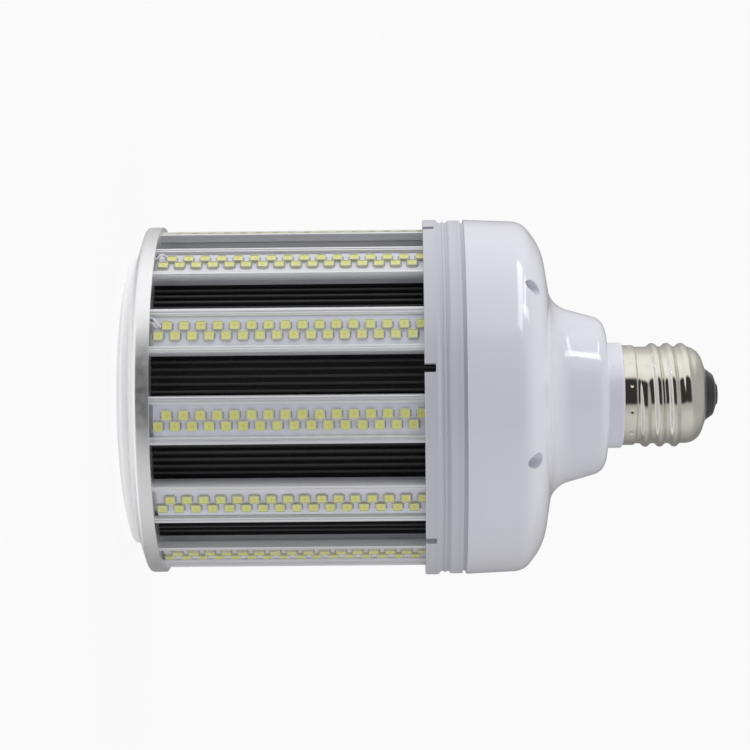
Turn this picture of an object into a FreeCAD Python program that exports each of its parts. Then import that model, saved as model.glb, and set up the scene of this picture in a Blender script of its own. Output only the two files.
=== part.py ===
import FreeCAD, Part
import math
import os
import Sketcher

# Corn LED bulb, in millimetres. It stands on its head lens, with the screw cap up.
# The origin is the middle of the lens face, and +Z runs along the axis towards the cap.
# A height or a rise adds to the seam or corner before it. Radii and angles are about the axis.

os.makedirs("parts", exist_ok=True)
doc = FreeCAD.newDocument("corn_led_bulb")

STRIP_COUNT = 12
RIBS_IN_CHANNEL = 5
NOTCH_COUNT = 6
HOUSING_SCREW_COUNT = 6
CORE_SCREW_COUNT = 3
DIMPLE_COUNT = 12
# Each ring of LED packages under the lens: the size that places it and how many it holds.
HEAD_CHIP_RINGS = (("head_chip_inset_inner", 8), ("head_chip_inset_outer", 16))

# Driving sizes, each written once.
SIZES = {
    # head lens
    "lens_crown_width": 17.8,
    "lens_depth": 3.0,
    "lens_stand": 1.1,
    "lens_corner": 0.7,
    "lens_wall": 1.8,
    # end ring
    "ring_overhang": 1.4,
    "ring_height": 6.0,
    "ring_face_width": 7.4,
    "ring_front_drop": 2.7,
    "ring_corner": 1.8,
    "ring_floor": 1.5,
    "ring_wire_hole": 4.0,
    # strips: the radius to the carriers' outer faces drives every other radius of the body
    "strip_face": 42.1,
    "strip_first_angle": 7.0,
    "strip_visible": 65.1,
    "carrier_width": 11.56,
    "carrier_side": 2.2,
    "carrier_foot": 1.5,
    "carrier_foot_width": 10.4,
    "carrier_rim": 0.93,
    "carrier_corner": 0.55,
    "carrier_groove": 0.25,
    "carrier_groove_depth": 0.3,
    "carrier_lip": 0.85,
    "carrier_lip_drop": 0.1,
    "carrier_lip_thick": 0.6,
    "carrier_lip_slope": 0.45,
    "board_width": 8.6,
    "board_thick": 1.2,
    "board_setback": 0.8,
    "chip_side": 2.35,
    "chip_thick": 0.75,
    "chip_pitch": 4.03,
    "chip_row_spacing": 2.66,
    "chip_first": 2.0,
    "lead_radius": 0.3,
    # heat sink core
    "core_wall": 2.2,
    "core_rail_rise": 1.5,
    "core_rail_width": 9.0,
    "rib_rise": 1.3,
    "rib_thick": 0.8,
    "rib_pitch": 1.8,
    "core_boss_radius": 4.8,
    "core_boss_inset": 6.5,
    # head board
    "head_board_gap": 0.6,
    "head_board_thick": 1.5,
    "head_chip_inset_inner": 18.4,
    "head_chip_inset_outer": 5.4,
    # collar ring
    "collar_overhang": 2.6,
    "collar_lip": 1.8,
    "collar_lip_height": 2.8,
    "collar_straight": 3.1,
    "collar_height": 4.4,
    "groove_depth": 0.8,
    "groove_floor": 0.4,
    "collar_ledge": 3.2,
    "notch_height": 2.7,
    "notch_width": 2.1,
    "notch_first_angle": -8.9,
    # driver tray
    "tray_inset": 0.2,
    "tray_slope": 0.5,
    "bead_offset": 0.2,
    "bead_width": 0.7,
    "bead_rise": 0.3,
    "bead_slope": 0.15,
    "bead_groove": 0.5,
    "seam_width": 0.9,
    "seam_depth": 0.4,
    "tray_height": 5.3,
    "tray_floor": 2.2,
    "tray_wall": 2.4,
    "tray_rib_inset": 0.8,
    "tray_rib_thick": 2.0,
    "tray_rib_rise": 3.5,
    "tray_wire_hole": 5.0,
    # driver housing: each rise is above the corner before it, the first above the tray
    "housing_inset": 0.05,
    "housing_wall": 2.2,
    "shoulder_rise": 14.6,
    "shoulder_draft": 0.65,
    "shoulder_corner": 5.4,
    "crown_rise": 4.8,
    "crown_inset": 6.9,
    "crown_corner": 15.5,
    "neck_foot_rise": 2.4,
    "neck_taper": 3.85,
    "neck_foot_corner": 6.9,
    "neck_rise": 13.7,
    "neck_radius": 19.1,
    "neck_corner": 4.0,
    "neck_bore": 9.5,
    "spigot_radius": 13.3,
    "spigot_height": 4.6,
    "spigot_corner": 0.6,
    # housing screws
    "housing_screw_first_angle": 21.5,
    "housing_screw_inset": 2.95,
    "housing_column_radius": 3.2,
    "recess_radius": 1.9,
    "recess_floor": 7.1,
    # screws
    "screw_radius": 1.2,
    "screw_head_radius": 1.7,
    "screw_head_height": 1.4,
    "screw_bite": 3.2,
    "core_screw_radius": 1.5,
    "core_screw_head_radius": 2.7,
    "core_screw_head_height": 1.8,
    "core_screw_length": 12.0,
    # screw cap, to the E27 gauge
    "thread_crest_radius": 13.1,
    "thread_root_radius": 12.2,
    "thread_pitch": 3.629,
    "thread_start": 5.33,
    "thread_rise": 10.1,
    "thread_base": 3.2,
    "thread_tip": 1.1,
    "thread_start_angle": -60.0,
    "shell_band_radius": 12.6,
    "shell_band_height": 2.9,
    "shell_height": 20.9,
    "shell_corner": 5.3,
    "shell_wall": 0.4,
    "shell_mouth_radius": 6.7,
    "dimple_ball": 0.9,
    "dimple_depth": 0.25,
    "dimple_rise": 1.75,
    "dimple_first_angle": -11.0,
    # insulator and contact
    "insulator_depth": 3.0,
    "insulator_rise": 2.95,
    "insulator_tip_radius": 5.1,
    "insulator_slope": 2.1,
    "contact_radius": 2.6,
    "contact_rise": 0.25,
    "contact_depth": 1.2,
    "contact_corner": 0.25,
    # driver board and what it carries
    "driver_board_gap": 0.7,
    "driver_board_thick": 1.6,
    "driver_headroom": 0.3,
    "transformer_width": 22.0,
    "transformer_depth": 17.0,
    "transformer_offset": 12.0,
    "capacitor_radius": 6.5,
    "capacitor_circle": 21.0,
    "choke_radius": 7.5,
    "choke_bore": 3.2,
    "choke_rise": 8.0,
    "choke_inset": 13.8,
    "rectifier_width": 9.0,
    "rectifier_depth": 6.0,
    "rectifier_rise": 3.0,
    "rectifier_offset": 8.0,
    # clearances
    "fit": 0.05,
}
CAPACITOR_ANGLES = (60, 120)
# The jumper leads that show, each with the number of its strip and the spots on its route: across
# the strip, above the board's face and beyond the end ring.
LEADS = (
    (11, ((-1.2, 0.6, 0.0), (-1.2, 0.6, 0.4), (-1.7, 1.3, 1.0), (-2.2, 1.2, 1.8), (-2.4, 0.3, 2.5))),
    (12, ((-3.1, 1.0, 0.0), (-3.1, 1.0, 0.4), (-2.7, 1.3, 0.9), (-1.5, 1.1, 1.7), (-1.1, 0.3, 2.5))),
    (12, ((-2.0, 0.7, 0.0), (-2.0, 0.7, 0.3), (-1.8, 0.9, 0.6), (-1.1, 0.7, 1.1), (-0.9, 0.3, 1.6))),
)
# The share of a lead's shorter run that each bend takes up.
BEND_SHARE = 0.45

sheet = doc.addObject("Spreadsheet::Sheet", "Size")
for row, (alias, number) in enumerate(SIZES.items(), start=1):
    sheet.set(f"A{row}", alias)
    sheet.set(f"B{row}", str(number))
    sheet.setAlias(f"B{row}", alias)
doc.recompute()

# Heights of the seams, as expressions on the sheet.
RING_FRONT = "(Size.lens_depth + Size.lens_stand)"
RING_BACK = f"({RING_FRONT} + Size.ring_height)"
RING_FLOOR = f"({RING_BACK} - Size.ring_floor)"
COLLAR_FACE = f"({RING_BACK} + Size.strip_visible)"
COLLAR_FLOOR = f"({COLLAR_FACE} + Size.collar_lip_height)"
TRAY_FACE = f"({COLLAR_FACE} + Size.collar_height)"
HOUSING_RIM = f"({TRAY_FACE} + Size.tray_height)"
SHOULDER = f"({HOUSING_RIM} + Size.shoulder_rise)"
CROWN = f"({SHOULDER} + Size.crown_rise)"
NECK_FOOT = f"({CROWN} + Size.neck_foot_rise)"
NECK_END = f"({NECK_FOOT} + Size.neck_rise)"
SHELL_RIM = f"({NECK_END} + Size.spigot_height)"
SHELL_END = f"({SHELL_RIM} + Size.shell_height)"
DRIVER_BOARD = f"({TRAY_FACE} + Size.tray_floor + Size.tray_rib_rise)"
BOARD_FACE = f"({DRIVER_BOARD} + Size.driver_board_thick)"
DRIVER_ROOM = f"({CROWN} - Size.housing_wall - Size.driver_headroom - {BOARD_FACE})"
STRIP_LENGTH = f"({COLLAR_FLOOR} - {RING_BACK})"
HEAD_BOARD = f"({RING_FLOOR} - Size.head_board_thick)"

# Radii of a strip's layers.
CARRIER_BASE = "(Size.strip_face - Size.carrier_side - Size.carrier_foot)"
LIP_TOP = "(Size.strip_face - Size.carrier_lip_drop)"
SLOT_TOP = f"({LIP_TOP} - Size.carrier_lip_thick)"
BOARD_BASE = f"({SLOT_TOP} - 2 * Size.fit - Size.board_thick)"
BOARD_TOP = f"({BOARD_BASE} + Size.board_thick)"
SLOT_SIDE = "(Size.board_width / 2 + Size.fit)"

# Radii of the core and of what covers the strips' ends.
CORE_ROOT = f"({CARRIER_BASE} - Size.core_rail_rise)"
BOSS_CIRCLE = f"({CORE_ROOT} - Size.core_boss_inset)"
RING_RADIUS = "(Size.strip_face + Size.ring_overhang)"
LENS_RADIUS = f"({RING_RADIUS} - Size.ring_face_width)"
COLLAR_RADIUS = "(Size.strip_face + Size.collar_overhang)"
GROOVE_RADIUS = f"({COLLAR_RADIUS} - Size.groove_depth)"
TRAY_RADIUS = f"({COLLAR_RADIUS} - Size.tray_inset)"

# Radii of the driver housing and what it holds.
HOUSING_RADIUS = f"({COLLAR_RADIUS} - Size.housing_inset)"
SHOULDER_RADIUS = f"({HOUSING_RADIUS} - Size.shoulder_draft)"
CROWN_RADIUS = f"({HOUSING_RADIUS} - Size.crown_inset)"
NECK_FOOT_RADIUS = "(Size.neck_radius + Size.neck_taper)"
SCREW_CIRCLE = f"({HOUSING_RADIUS} - Size.housing_screw_inset)"
TRAY_COLUMN = f"({GROOVE_RADIUS} - {SCREW_CIRCLE})"
DRIVER_BOARD_RADIUS = f"({SCREW_CIRCLE} - Size.housing_column_radius - Size.driver_board_gap)"
TRAY_RIB_RADIUS = f"({DRIVER_BOARD_RADIUS} - Size.tray_rib_inset)"

# The rounding of the crown is limited by the slope between it and the neck's foot. The shares
# are about the tangents of half the turns at its two ends.
CROWN_TURN_SHARE = 0.27
FOOT_TURN_SHARE = 0.66
CROWN_ROUNDING = (
    f"min(Size.crown_corner; ({CROWN_RADIUS} - {NECK_FOOT_RADIUS}"
    f" - {FOOT_TURN_SHARE} * Size.neck_foot_corner) / {CROWN_TURN_SHARE})"
)
# The rounding of the neck is limited in the same way by the flat end round the spigot.
NECK_TURN_SHARE = 0.8
NECK_END_WIDTH = "(Size.neck_radius - Size.spigot_radius)"
NECK_ROUNDING = f"min(Size.neck_corner; {NECK_END_WIDTH} / {NECK_TURN_SHARE})"

# The photograph shows the strips, notches and screws from one side. Angles measured there run
# from the near side, and NEAR_SIDE turns them into angles about the axis.
NEAR_SIDE = -90

nodes = []


def value(expression):
    """The number that an expression on the sheet gives."""
    return float(sheet.evalExpression(str(expression)))


def bind(item, **properties):
    """Ties an object's properties to expressions on the sheet."""
    for name, expression in properties.items():
        item.setExpression(name, str(expression))


def place(item, name, spot, turn=0):
    """Binds the three coordinates and the turn about the axis of an item's placement."""
    current = item.getPropertyByName(name)
    current.Rotation = FreeCAD.Rotation(FreeCAD.Vector(0, 0, 1), 1)
    setattr(item, name, current)
    for axis, expression in zip("xyz", spot):
        item.setExpression(f"{name}.Base.{axis}", str(expression))
    item.setExpression(f"{name}.Rotation.Angle", str(turn))


def keep(item, label):
    """Makes an object a piece of the bulb, under the name of its node."""
    item.Label = label
    nodes.append(item)
    return item


def new_body(name):
    return doc.addObject("PartDesign::Body", name)


def origin_part(body, role):
    return next(item for item in body.Origin.OriginFeatures if item.Role == role)


def new_sketch(body, name, plane="XY_Plane", height="0", turn="0"):
    """An empty sketch on one of the body's own planes, raised and turned by expressions."""
    sketch = body.newObject("Sketcher::SketchObject", name)
    sketch.AttachmentSupport = [(origin_part(body, plane), "")]
    sketch.MapMode = "FlatFace"
    if plane == "XY_Plane":
        place(sketch, "AttachmentOffset", ("0", "0", height), turn)
    return sketch


def pin(sketch, kind, first, second, expression):
    """One distance in a sketch, tied to the sheet."""
    number = sketch.addConstraint(Sketcher.Constraint(kind, *first, *second, value(expression)))
    sketch.setExpression(f"Constraints[{number}]", str(expression))


def draw_outline(sketch, corners):
    """A closed outline of straight edges whose corners are pairs of expressions."""
    spots = [FreeCAD.Vector(value(x), value(y), 0) for x, y in corners]
    lines = [Part.LineSegment(a, b) for a, b in zip(spots, spots[1:] + spots[:1])]
    edges = [sketch.addGeometry(line) for line in lines]
    for edge, following in zip(edges, edges[1:] + edges[:1]):
        sketch.addConstraint(Sketcher.Constraint("Coincident", edge, 2, following, 1))
    for edge, (x, y) in zip(edges, corners):
        pin(sketch, "DistanceX", (-1, 1), (edge, 1), x)
        pin(sketch, "DistanceY", (-1, 1), (edge, 1), y)


def draw_circle(sketch, x, y, radius):
    """A circle whose centre and radius are expressions."""
    centre = FreeCAD.Vector(value(x), value(y), 0)
    circle = sketch.addGeometry(Part.Circle(centre, FreeCAD.Vector(0, 0, 1), value(radius)))
    pin(sketch, "DistanceX", (-1, 1), (circle, 3), x)
    pin(sketch, "DistanceY", (-1, 1), (circle, 3), y)
    number = sketch.addConstraint(Sketcher.Constraint("Radius", circle, value(radius)))
    sketch.setExpression(f"Constraints[{number}]", str(radius))


def pad(body, sketch, name, length):
    feature = body.newObject("PartDesign::Pad", name)
    feature.Profile = sketch
    bind(feature, Length=length)
    return feature


def pocket(body, sketch, name, length):
    """Cuts upwards from the sketch by the length given."""
    feature = body.newObject("PartDesign::Pocket", name)
    feature.Profile = sketch
    feature.Reversed = True
    bind(feature, Length=length)
    return feature


def revolve(body, name, corners):
    """Turns an outline of radius and height pairs about the axis."""
    sketch = new_sketch(body, name + "_outline", "XZ_Plane")
    draw_outline(sketch, corners)
    feature = body.newObject("PartDesign::Revolution", name)
    feature.Profile = sketch
    feature.ReferenceAxis = (sketch, ["V_Axis"])
    feature.Angle = 360
    return feature


def repeat(body, feature, name, count):
    """Repeats a feature evenly round the axis."""
    pattern = body.newObject("PartDesign::PolarPattern", name)
    pattern.Originals = [feature]
    pattern.Axis = (origin_part(body, "Z_Axis"), [""])
    pattern.Angle = 360
    pattern.Occurrences = count
    body.Tip = pattern
    return pattern


def ring_edge(shape, radius, height):
    """The name of the round edge with this radius at this height."""
    for number, edge in enumerate(shape.Edges, start=1):
        curve = edge.Curve
        if not isinstance(curve, Part.Circle):
            continue
        if abs(curve.Center.z - height) < 1e-4 and abs(curve.Radius - radius) < 1e-4:
            return f"Edge{number}"
    raise ValueError(f"no edge of radius {radius} at height {height}")


def round_off(body, name, base, rounding, edges):
    """Rounds named edges of a feature."""
    feature = body.newObject("PartDesign::Fillet", name)
    feature.Base = (base, edges)
    bind(feature, Radius=rounding)
    doc.recompute()
    return feature


def round_ring(body, name, base, rounding, radius, height):
    """Rounds the circular edge where two turned faces meet."""
    doc.recompute()
    edge = ring_edge(base.Shape, value(radius), value(height))
    return round_off(body, name, base, rounding, [edge])


def round_bar(name, radius, height, spot):
    """An upright round bar with its foot at the spot."""
    bar = doc.addObject("Part::Cylinder", name)
    bind(bar, Radius=radius, Height=height)
    place(bar, "Placement", spot)
    return bar


def on_circle(circle, angle):
    """The two coordinates of a spot on a circle about the axis."""
    return f"{circle} * cos({angle})", f"{circle} * sin({angle})"


def together(name, items):
    group = doc.addObject("Part::Compound", name)
    group.Links = items
    return group


def cut(name, base, tool):
    result = doc.addObject("Part::Cut", name)
    result.Base = base
    result.Tool = tool
    return result


def screw_angles(first, count):
    """Angles about the axis of a ring of screws, as expressions."""
    return [f"({NEAR_SIDE} + {first} + {360 * k / count})" for k in range(count)]


HOUSING_ANGLES = screw_angles("Size.housing_screw_first_angle", HOUSING_SCREW_COUNT)
CORE_ANGLES = screw_angles("Size.strip_first_angle", CORE_SCREW_COUNT)


# Head lens: an opal cup with a flat middle that curves back to a straight skirt.
def arc_about(x, z, radius, start, end):
    """An arc in the section plane, between two leans from the way the head looks."""
    leans = (start, (start + end) / 2, end)
    spots = [(x + radius * math.sin(lean), 0, z - radius * math.cos(lean)) for lean in leans]
    return Part.Arc(*(FreeCAD.Vector(*spot) for spot in spots))


def line(a, b):
    return Part.LineSegment(FreeCAD.Vector(*a), FreeCAD.Vector(*b))


def make_lens():
    rim = value(LENS_RADIUS)
    face = rim - value("Size.lens_crown_width")
    depth = value("Size.lens_depth")
    corner = value("Size.lens_corner")
    wall = value("Size.lens_wall")
    inside = rim - wall
    skirt_end = value(RING_FLOOR)
    # The crown touches the flat face and the small arc that stands upright at the skirt.
    across = rim - corner - face
    crown = (across**2 + depth**2 - corner**2) / (2 * (depth - corner))
    lean = math.atan2(across, crown - depth)
    inner_lean = math.asin((inside - face) / (crown - wall))
    inner_depth = crown - (crown - wall) * math.cos(inner_lean)
    edges = [
        line((0, 0, 0), (face, 0, 0)),
        arc_about(face, crown, crown, 0, lean),
        arc_about(rim - corner, depth, corner, lean, math.pi / 2),
        line((rim, 0, depth), (rim, 0, skirt_end)),
        line((rim, 0, skirt_end), (inside, 0, skirt_end)),
        line((inside, 0, skirt_end), (inside, 0, inner_depth)),
        arc_about(face, crown, crown - wall, inner_lean, 0),
        line((face, 0, wall), (0, 0, wall)),
        line((0, 0, wall), (0, 0, 0)),
    ]
    section = Part.Face(Part.Wire(Part.__sortEdges__([edge.toShape() for edge in edges])))
    lens = doc.addObject("Part::Feature", "end_lens")
    lens.Shape = section.revolve(FreeCAD.Vector(0, 0, 0), FreeCAD.Vector(0, 0, 1), 360)
    return keep(lens, "end_lens")


# End ring: a cup turned from aluminium, with a sloping front and a rounded outer corner.
def make_end_ring():
    body = new_body("end_ring")
    bore = f"{LENS_RADIUS} + Size.fit"
    turned = revolve(
        body,
        "ring_turned",
        [
            (bore, RING_FRONT),
            (RING_RADIUS, f"{RING_FRONT} + Size.ring_front_drop"),
            (RING_RADIUS, RING_BACK),
            ("Size.ring_wire_hole", RING_BACK),
            ("Size.ring_wire_hole", RING_FLOOR),
            (bore, RING_FLOOR),
        ],
    )
    round_ring(
        body,
        "ring_corner",
        turned,
        "Size.ring_corner",
        RING_RADIUS,
        f"{RING_FRONT} + Size.ring_front_drop",
    )
    drill_core_holes(body, RING_FLOOR, "Size.ring_floor")
    return keep(body, "end_ring")


def drill_core_holes(body, height, depth):
    """Clearance holes for the screws that go into the core."""
    sketch = new_sketch(body, body.Name + "_hole", height=height, turn=CORE_ANGLES[0])
    draw_circle(sketch, BOSS_CIRCLE, "0", "Size.core_screw_radius + Size.fit")
    hole = pocket(body, sketch, body.Name + "_drill", depth)
    repeat(body, hole, body.Name + "_drills", CORE_SCREW_COUNT)


# Strip carriers: an aluminium extrusion with a rim, a groove line and a lip on each side.
def carrier_half():
    """The section's corners on one side, from the foot up to the slot for the board."""
    side = "Size.carrier_width / 2"
    groove_outer = f"({side} - Size.carrier_rim)"
    groove_inner = f"({groove_outer} - Size.carrier_groove)"
    lip_edge = f"({groove_inner} - Size.carrier_lip)"
    step = "(Size.strip_face - Size.carrier_side)"
    return [
        (CARRIER_BASE, "Size.carrier_foot_width / 2"),
        (step, "Size.carrier_foot_width / 2"),
        (step, side),
        ("Size.strip_face", side),
        ("Size.strip_face", groove_outer),
        ("Size.strip_face - Size.carrier_groove_depth", f"({groove_outer} + {groove_inner}) / 2"),
        (LIP_TOP, groove_inner),
        (LIP_TOP, f"({lip_edge} + Size.carrier_lip_slope)"),
        (SLOT_TOP, lip_edge),
        (SLOT_TOP, SLOT_SIDE),
        (BOARD_BASE, SLOT_SIDE),
    ]


def long_edges(shape, x, y):
    """Names of the straight lengthwise edges at (x, y) and (x, -y) of a section."""
    found = []
    for number, edge in enumerate(shape.Edges, start=1):
        start, end = edge.Vertexes[0].Point, edge.Vertexes[-1].Point
        upright = math.hypot(start.x - end.x, start.y - end.y) < 1e-6
        if upright and abs(start.x - x) < 1e-6 and abs(abs(start.y) - y) < 1e-6:
            found.append(f"Edge{number}")
    return found


def make_carrier(number, angle):
    label = f"strip_carrier_{number:02d}"
    body = new_body(label)
    half = carrier_half()
    corners = half + [(x, f"-1 * ({y})") for x, y in reversed(half)]
    sketch = new_sketch(body, label + "_section", height=RING_BACK)
    draw_outline(sketch, corners)
    bar = pad(body, sketch, label + "_bar", STRIP_LENGTH)
    doc.recompute()
    rims = long_edges(bar.Shape, value("Size.strip_face"), value("Size.carrier_width / 2"))
    round_off(body, label + "_rims", bar, "Size.carrier_corner", rims)
    place(body, "Placement", ("0", "0", "0"), angle)
    return keep(body, label)


# LED boards: a plain strip slid into each carrier's slot.
def make_board(number, angle):
    label = f"led_board_{number:02d}"
    board = doc.addObject("Part::Box", label)
    bind(
        board,
        Length="Size.board_thick",
        Width="Size.board_width",
        Height=f"{STRIP_LENGTH} - 2 * Size.board_setback",
    )
    out, across = BOARD_BASE, "Size.board_width / 2"
    spot = (
        f"{out} * cos({angle}) + {across} * sin({angle})",
        f"{out} * sin({angle}) - {across} * cos({angle})",
        f"{RING_BACK} + Size.board_setback",
    )
    place(board, "Placement", spot, angle)
    return keep(board, label)


# LED packages: two rows on each board, the second half a pitch further along.
def make_chips(number, angle):
    label = f"led_chips_{number:02d}"
    side = value("Size.chip_side")
    pitch = value("Size.chip_pitch")
    first = value(f"{RING_BACK} + Size.chip_first")
    room = value(f"{STRIP_LENGTH} - Size.board_setback - Size.chip_first") - (pitch + side) / 2
    count = int(room // pitch) + 1
    rows = (
        (value("Size.chip_row_spacing / 2"), first),
        (value("-1 * Size.chip_row_spacing / 2"), first + pitch / 2),
    )
    chips = []
    for across, start in rows:
        for k in range(count):
            corner = FreeCAD.Vector(
                value(BOARD_TOP), across - side / 2, start + k * pitch - side / 2
            )
            chips.append(Part.makeBox(value("Size.chip_thick"), side, side, corner))
    group = doc.addObject("Part::Feature", label)
    group.Shape = Part.makeCompound(chips)
    place(group, "Placement", ("0", "0", "0"), angle)
    return keep(group, label)


# Jumper leads: short insulated wires from the end ring to the first pads of two boards.
def bent_wire(spots, radius):
    """A round wire through the spots, with straight runs joined by tangent arcs."""
    edges = []
    start = spots[0]
    for last, corner, following in zip(spots, spots[1:], spots[2:]):
        back, ahead = last - corner, following - corner
        reach = BEND_SHARE * min(back.Length, ahead.Length)
        half = back.getAngle(ahead) / 2
        bend = reach * math.tan(half)
        back.normalize()
        ahead.normalize()
        inward = back + ahead
        inward.normalize()
        middle = corner + inward * (bend / math.sin(half) - bend)
        edges.append(Part.LineSegment(start, corner + back * reach).toShape())
        edges.append(Part.Arc(corner + back * reach, middle, corner + ahead * reach).toShape())
        start = corner + ahead * reach
    edges.append(Part.LineSegment(start, spots[-1]).toShape())
    section = Part.Wire(Part.makeCircle(radius, spots[0], spots[1] - spots[0]))
    return Part.Wire(edges).makePipeShell([section], True, True)


def make_leads():
    radius = value("Size.lead_radius")
    face, back = value(BOARD_TOP), value(RING_BACK)
    leads = []
    for strip, route in LEADS:
        angle = value(strip_angle(strip - 1))
        turn = FreeCAD.Rotation(FreeCAD.Vector(0, 0, 1), angle)
        spots = [
            turn.multVec(FreeCAD.Vector(face + above, across, back + beyond))
            for across, above, beyond in route
        ]
        leads.append(bent_wire(spots, radius))
    group = doc.addObject("Part::Feature", "jumper_leads")
    group.Shape = Part.makeCompound(leads)
    return keep(group, "jumper_leads")


# Heat sink core: a black extrusion with a rail under each carrier and ribs between.
def make_core():
    body = new_body("heat_sink_core")
    tube = new_sketch(body, "core_tube", height=RING_BACK)
    draw_circle(tube, "0", "0", CORE_ROOT)
    draw_circle(tube, "0", "0", f"{CORE_ROOT} - Size.core_wall")
    pad(body, tube, "core_tube_length", STRIP_LENGTH)

    sunk = f"({CORE_ROOT} - Size.core_wall / 2)"
    rail = new_sketch(body, "core_rail", height=RING_BACK, turn=strip_angle(0))
    half_rail = "Size.core_rail_width / 2"
    draw_outline(rail, box_corners(sunk, CARRIER_BASE, f"-1 * {half_rail}", half_rail))
    repeat(body, pad(body, rail, "core_rail_length", STRIP_LENGTH), "core_rails", STRIP_COUNT)

    ribs = new_sketch(body, "core_ribs", height=RING_BACK, turn=strip_angle(0.5))
    tip = f"{CORE_ROOT} + Size.rib_rise"
    for k in range(RIBS_IN_CHANNEL):
        middle = f"({k - (RIBS_IN_CHANNEL - 1) / 2} * Size.rib_pitch)"
        edges = (f"{middle} - Size.rib_thick / 2", f"{middle} + Size.rib_thick / 2")
        draw_outline(ribs, box_corners(sunk, tip, *edges))
    repeat(body, pad(body, ribs, "core_rib_length", STRIP_LENGTH), "core_rib_sets", STRIP_COUNT)

    boss = new_sketch(body, "core_boss", height=RING_BACK, turn=CORE_ANGLES[0])
    draw_circle(boss, BOSS_CIRCLE, "0", "Size.core_boss_radius")
    repeat(body, pad(body, boss, "core_boss_length", STRIP_LENGTH), "core_bosses", CORE_SCREW_COUNT)

    bore = new_sketch(body, "core_bore", height=RING_BACK, turn=CORE_ANGLES[0])
    draw_circle(bore, BOSS_CIRCLE, "0", "Size.core_screw_radius + Size.fit")
    repeat(body, pocket(body, bore, "core_bore_length", STRIP_LENGTH), "core_bores", CORE_SCREW_COUNT)
    return keep(body, "heat_sink_core")


def box_corners(near, far, low, high):
    return [(near, low), (far, low), (far, high), (near, high)]


def strip_angle(number):
    """The angle about the axis of a strip, counted from the first."""
    return f"({NEAR_SIDE} + Size.strip_first_angle + {number * 360 / STRIP_COUNT})"


# Head board and its LED packages, seated on the end ring's floor under the lens.
def make_head_board():
    body = new_body("head_led_board")
    sketch = new_sketch(body, "head_board_disc", height=HEAD_BOARD)
    draw_circle(sketch, "0", "0", f"{LENS_RADIUS} - Size.lens_wall - Size.head_board_gap")
    draw_circle(sketch, "0", "0", "Size.ring_wire_hole")
    pad(body, sketch, "head_board_plate", "Size.head_board_thick")
    drill_core_holes(body, HEAD_BOARD, "Size.head_board_thick")
    return keep(body, "head_led_board")


def make_head_chips():
    side = value("Size.chip_side")
    thick = value("Size.chip_thick")
    axis = FreeCAD.Vector(0, 0, 1)
    chips = []
    for inset, count in HEAD_CHIP_RINGS:
        corner = FreeCAD.Vector(
            value(f"{BOSS_CIRCLE} - Size.{inset}") - side / 2, -side / 2, value(HEAD_BOARD) - thick
        )
        for k in range(count):
            chip = Part.makeBox(side, side, thick, corner)
            chips.append(chip.rotate(FreeCAD.Vector(0, 0, 0), axis, 360 * (k + 0.5) / count))
    group = doc.addObject("Part::Feature", "head_led_chips")
    group.Shape = Part.makeCompound(chips)
    return keep(group, "head_led_chips")


# Collar ring: a white cup that holds the strips' ends, with notches open towards the head.
def make_collar():
    body = new_body("collar_ring")
    inside = f"{COLLAR_RADIUS} - Size.collar_lip"
    opening = f"{BOSS_CIRCLE} - Size.collar_ledge"
    revolve(
        body,
        "collar_turned",
        [
            (inside, COLLAR_FACE),
            (COLLAR_RADIUS, COLLAR_FACE),
            (COLLAR_RADIUS, f"{COLLAR_FACE} + Size.collar_straight"),
            (GROOVE_RADIUS, f"{TRAY_FACE} - Size.groove_floor"),
            (GROOVE_RADIUS, TRAY_FACE),
            (opening, TRAY_FACE),
            (opening, COLLAR_FLOOR),
            (inside, COLLAR_FLOOR),
        ],
    )
    drill_core_holes(body, COLLAR_FLOOR, "Size.collar_height - Size.collar_lip_height")
    turn = f"{NEAR_SIDE} + Size.notch_first_angle"
    sketch = new_sketch(body, "notch_outline", height=COLLAR_FACE, turn=turn)
    half = "Size.notch_width / 2"
    outside = f"{COLLAR_RADIUS} + Size.collar_lip"
    within = f"{COLLAR_RADIUS} - 2 * Size.collar_lip"
    draw_outline(sketch, box_corners(within, outside, f"-1 * {half}", half))
    repeat(body, pocket(body, sketch, "notch", "Size.notch_height"), "notches", NOTCH_COUNT)
    return keep(body, "collar_ring")


# Driver tray: the second white ring, with a floor and a rib that carries the driver board. Its
# outside has a bead between two grooves, and a narrow rebate where the housing meets it.
def tray_outside():
    """Corners of the tray's outer face, from the collar to the housing."""
    bead_radius = f"({GROOVE_RADIUS} + Size.bead_rise)"
    bead = f"({TRAY_FACE} + Size.bead_offset)"
    bead_end = f"({bead} + Size.bead_width)"
    slope = f"({bead_end} + Size.bead_groove)"
    seam = f"({HOUSING_RIM} - Size.seam_width)"
    seam_radius = f"({TRAY_RADIUS} - Size.seam_depth)"
    return [
        (GROOVE_RADIUS, TRAY_FACE),
        (GROOVE_RADIUS, bead),
        (bead_radius, f"{bead} + Size.bead_slope"),
        (bead_radius, f"{bead_end} - Size.bead_slope"),
        (GROOVE_RADIUS, bead_end),
        (GROOVE_RADIUS, slope),
        (TRAY_RADIUS, f"{slope} + Size.tray_slope"),
        (TRAY_RADIUS, seam),
        (seam_radius, seam),
        (seam_radius, HOUSING_RIM),
    ]


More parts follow.
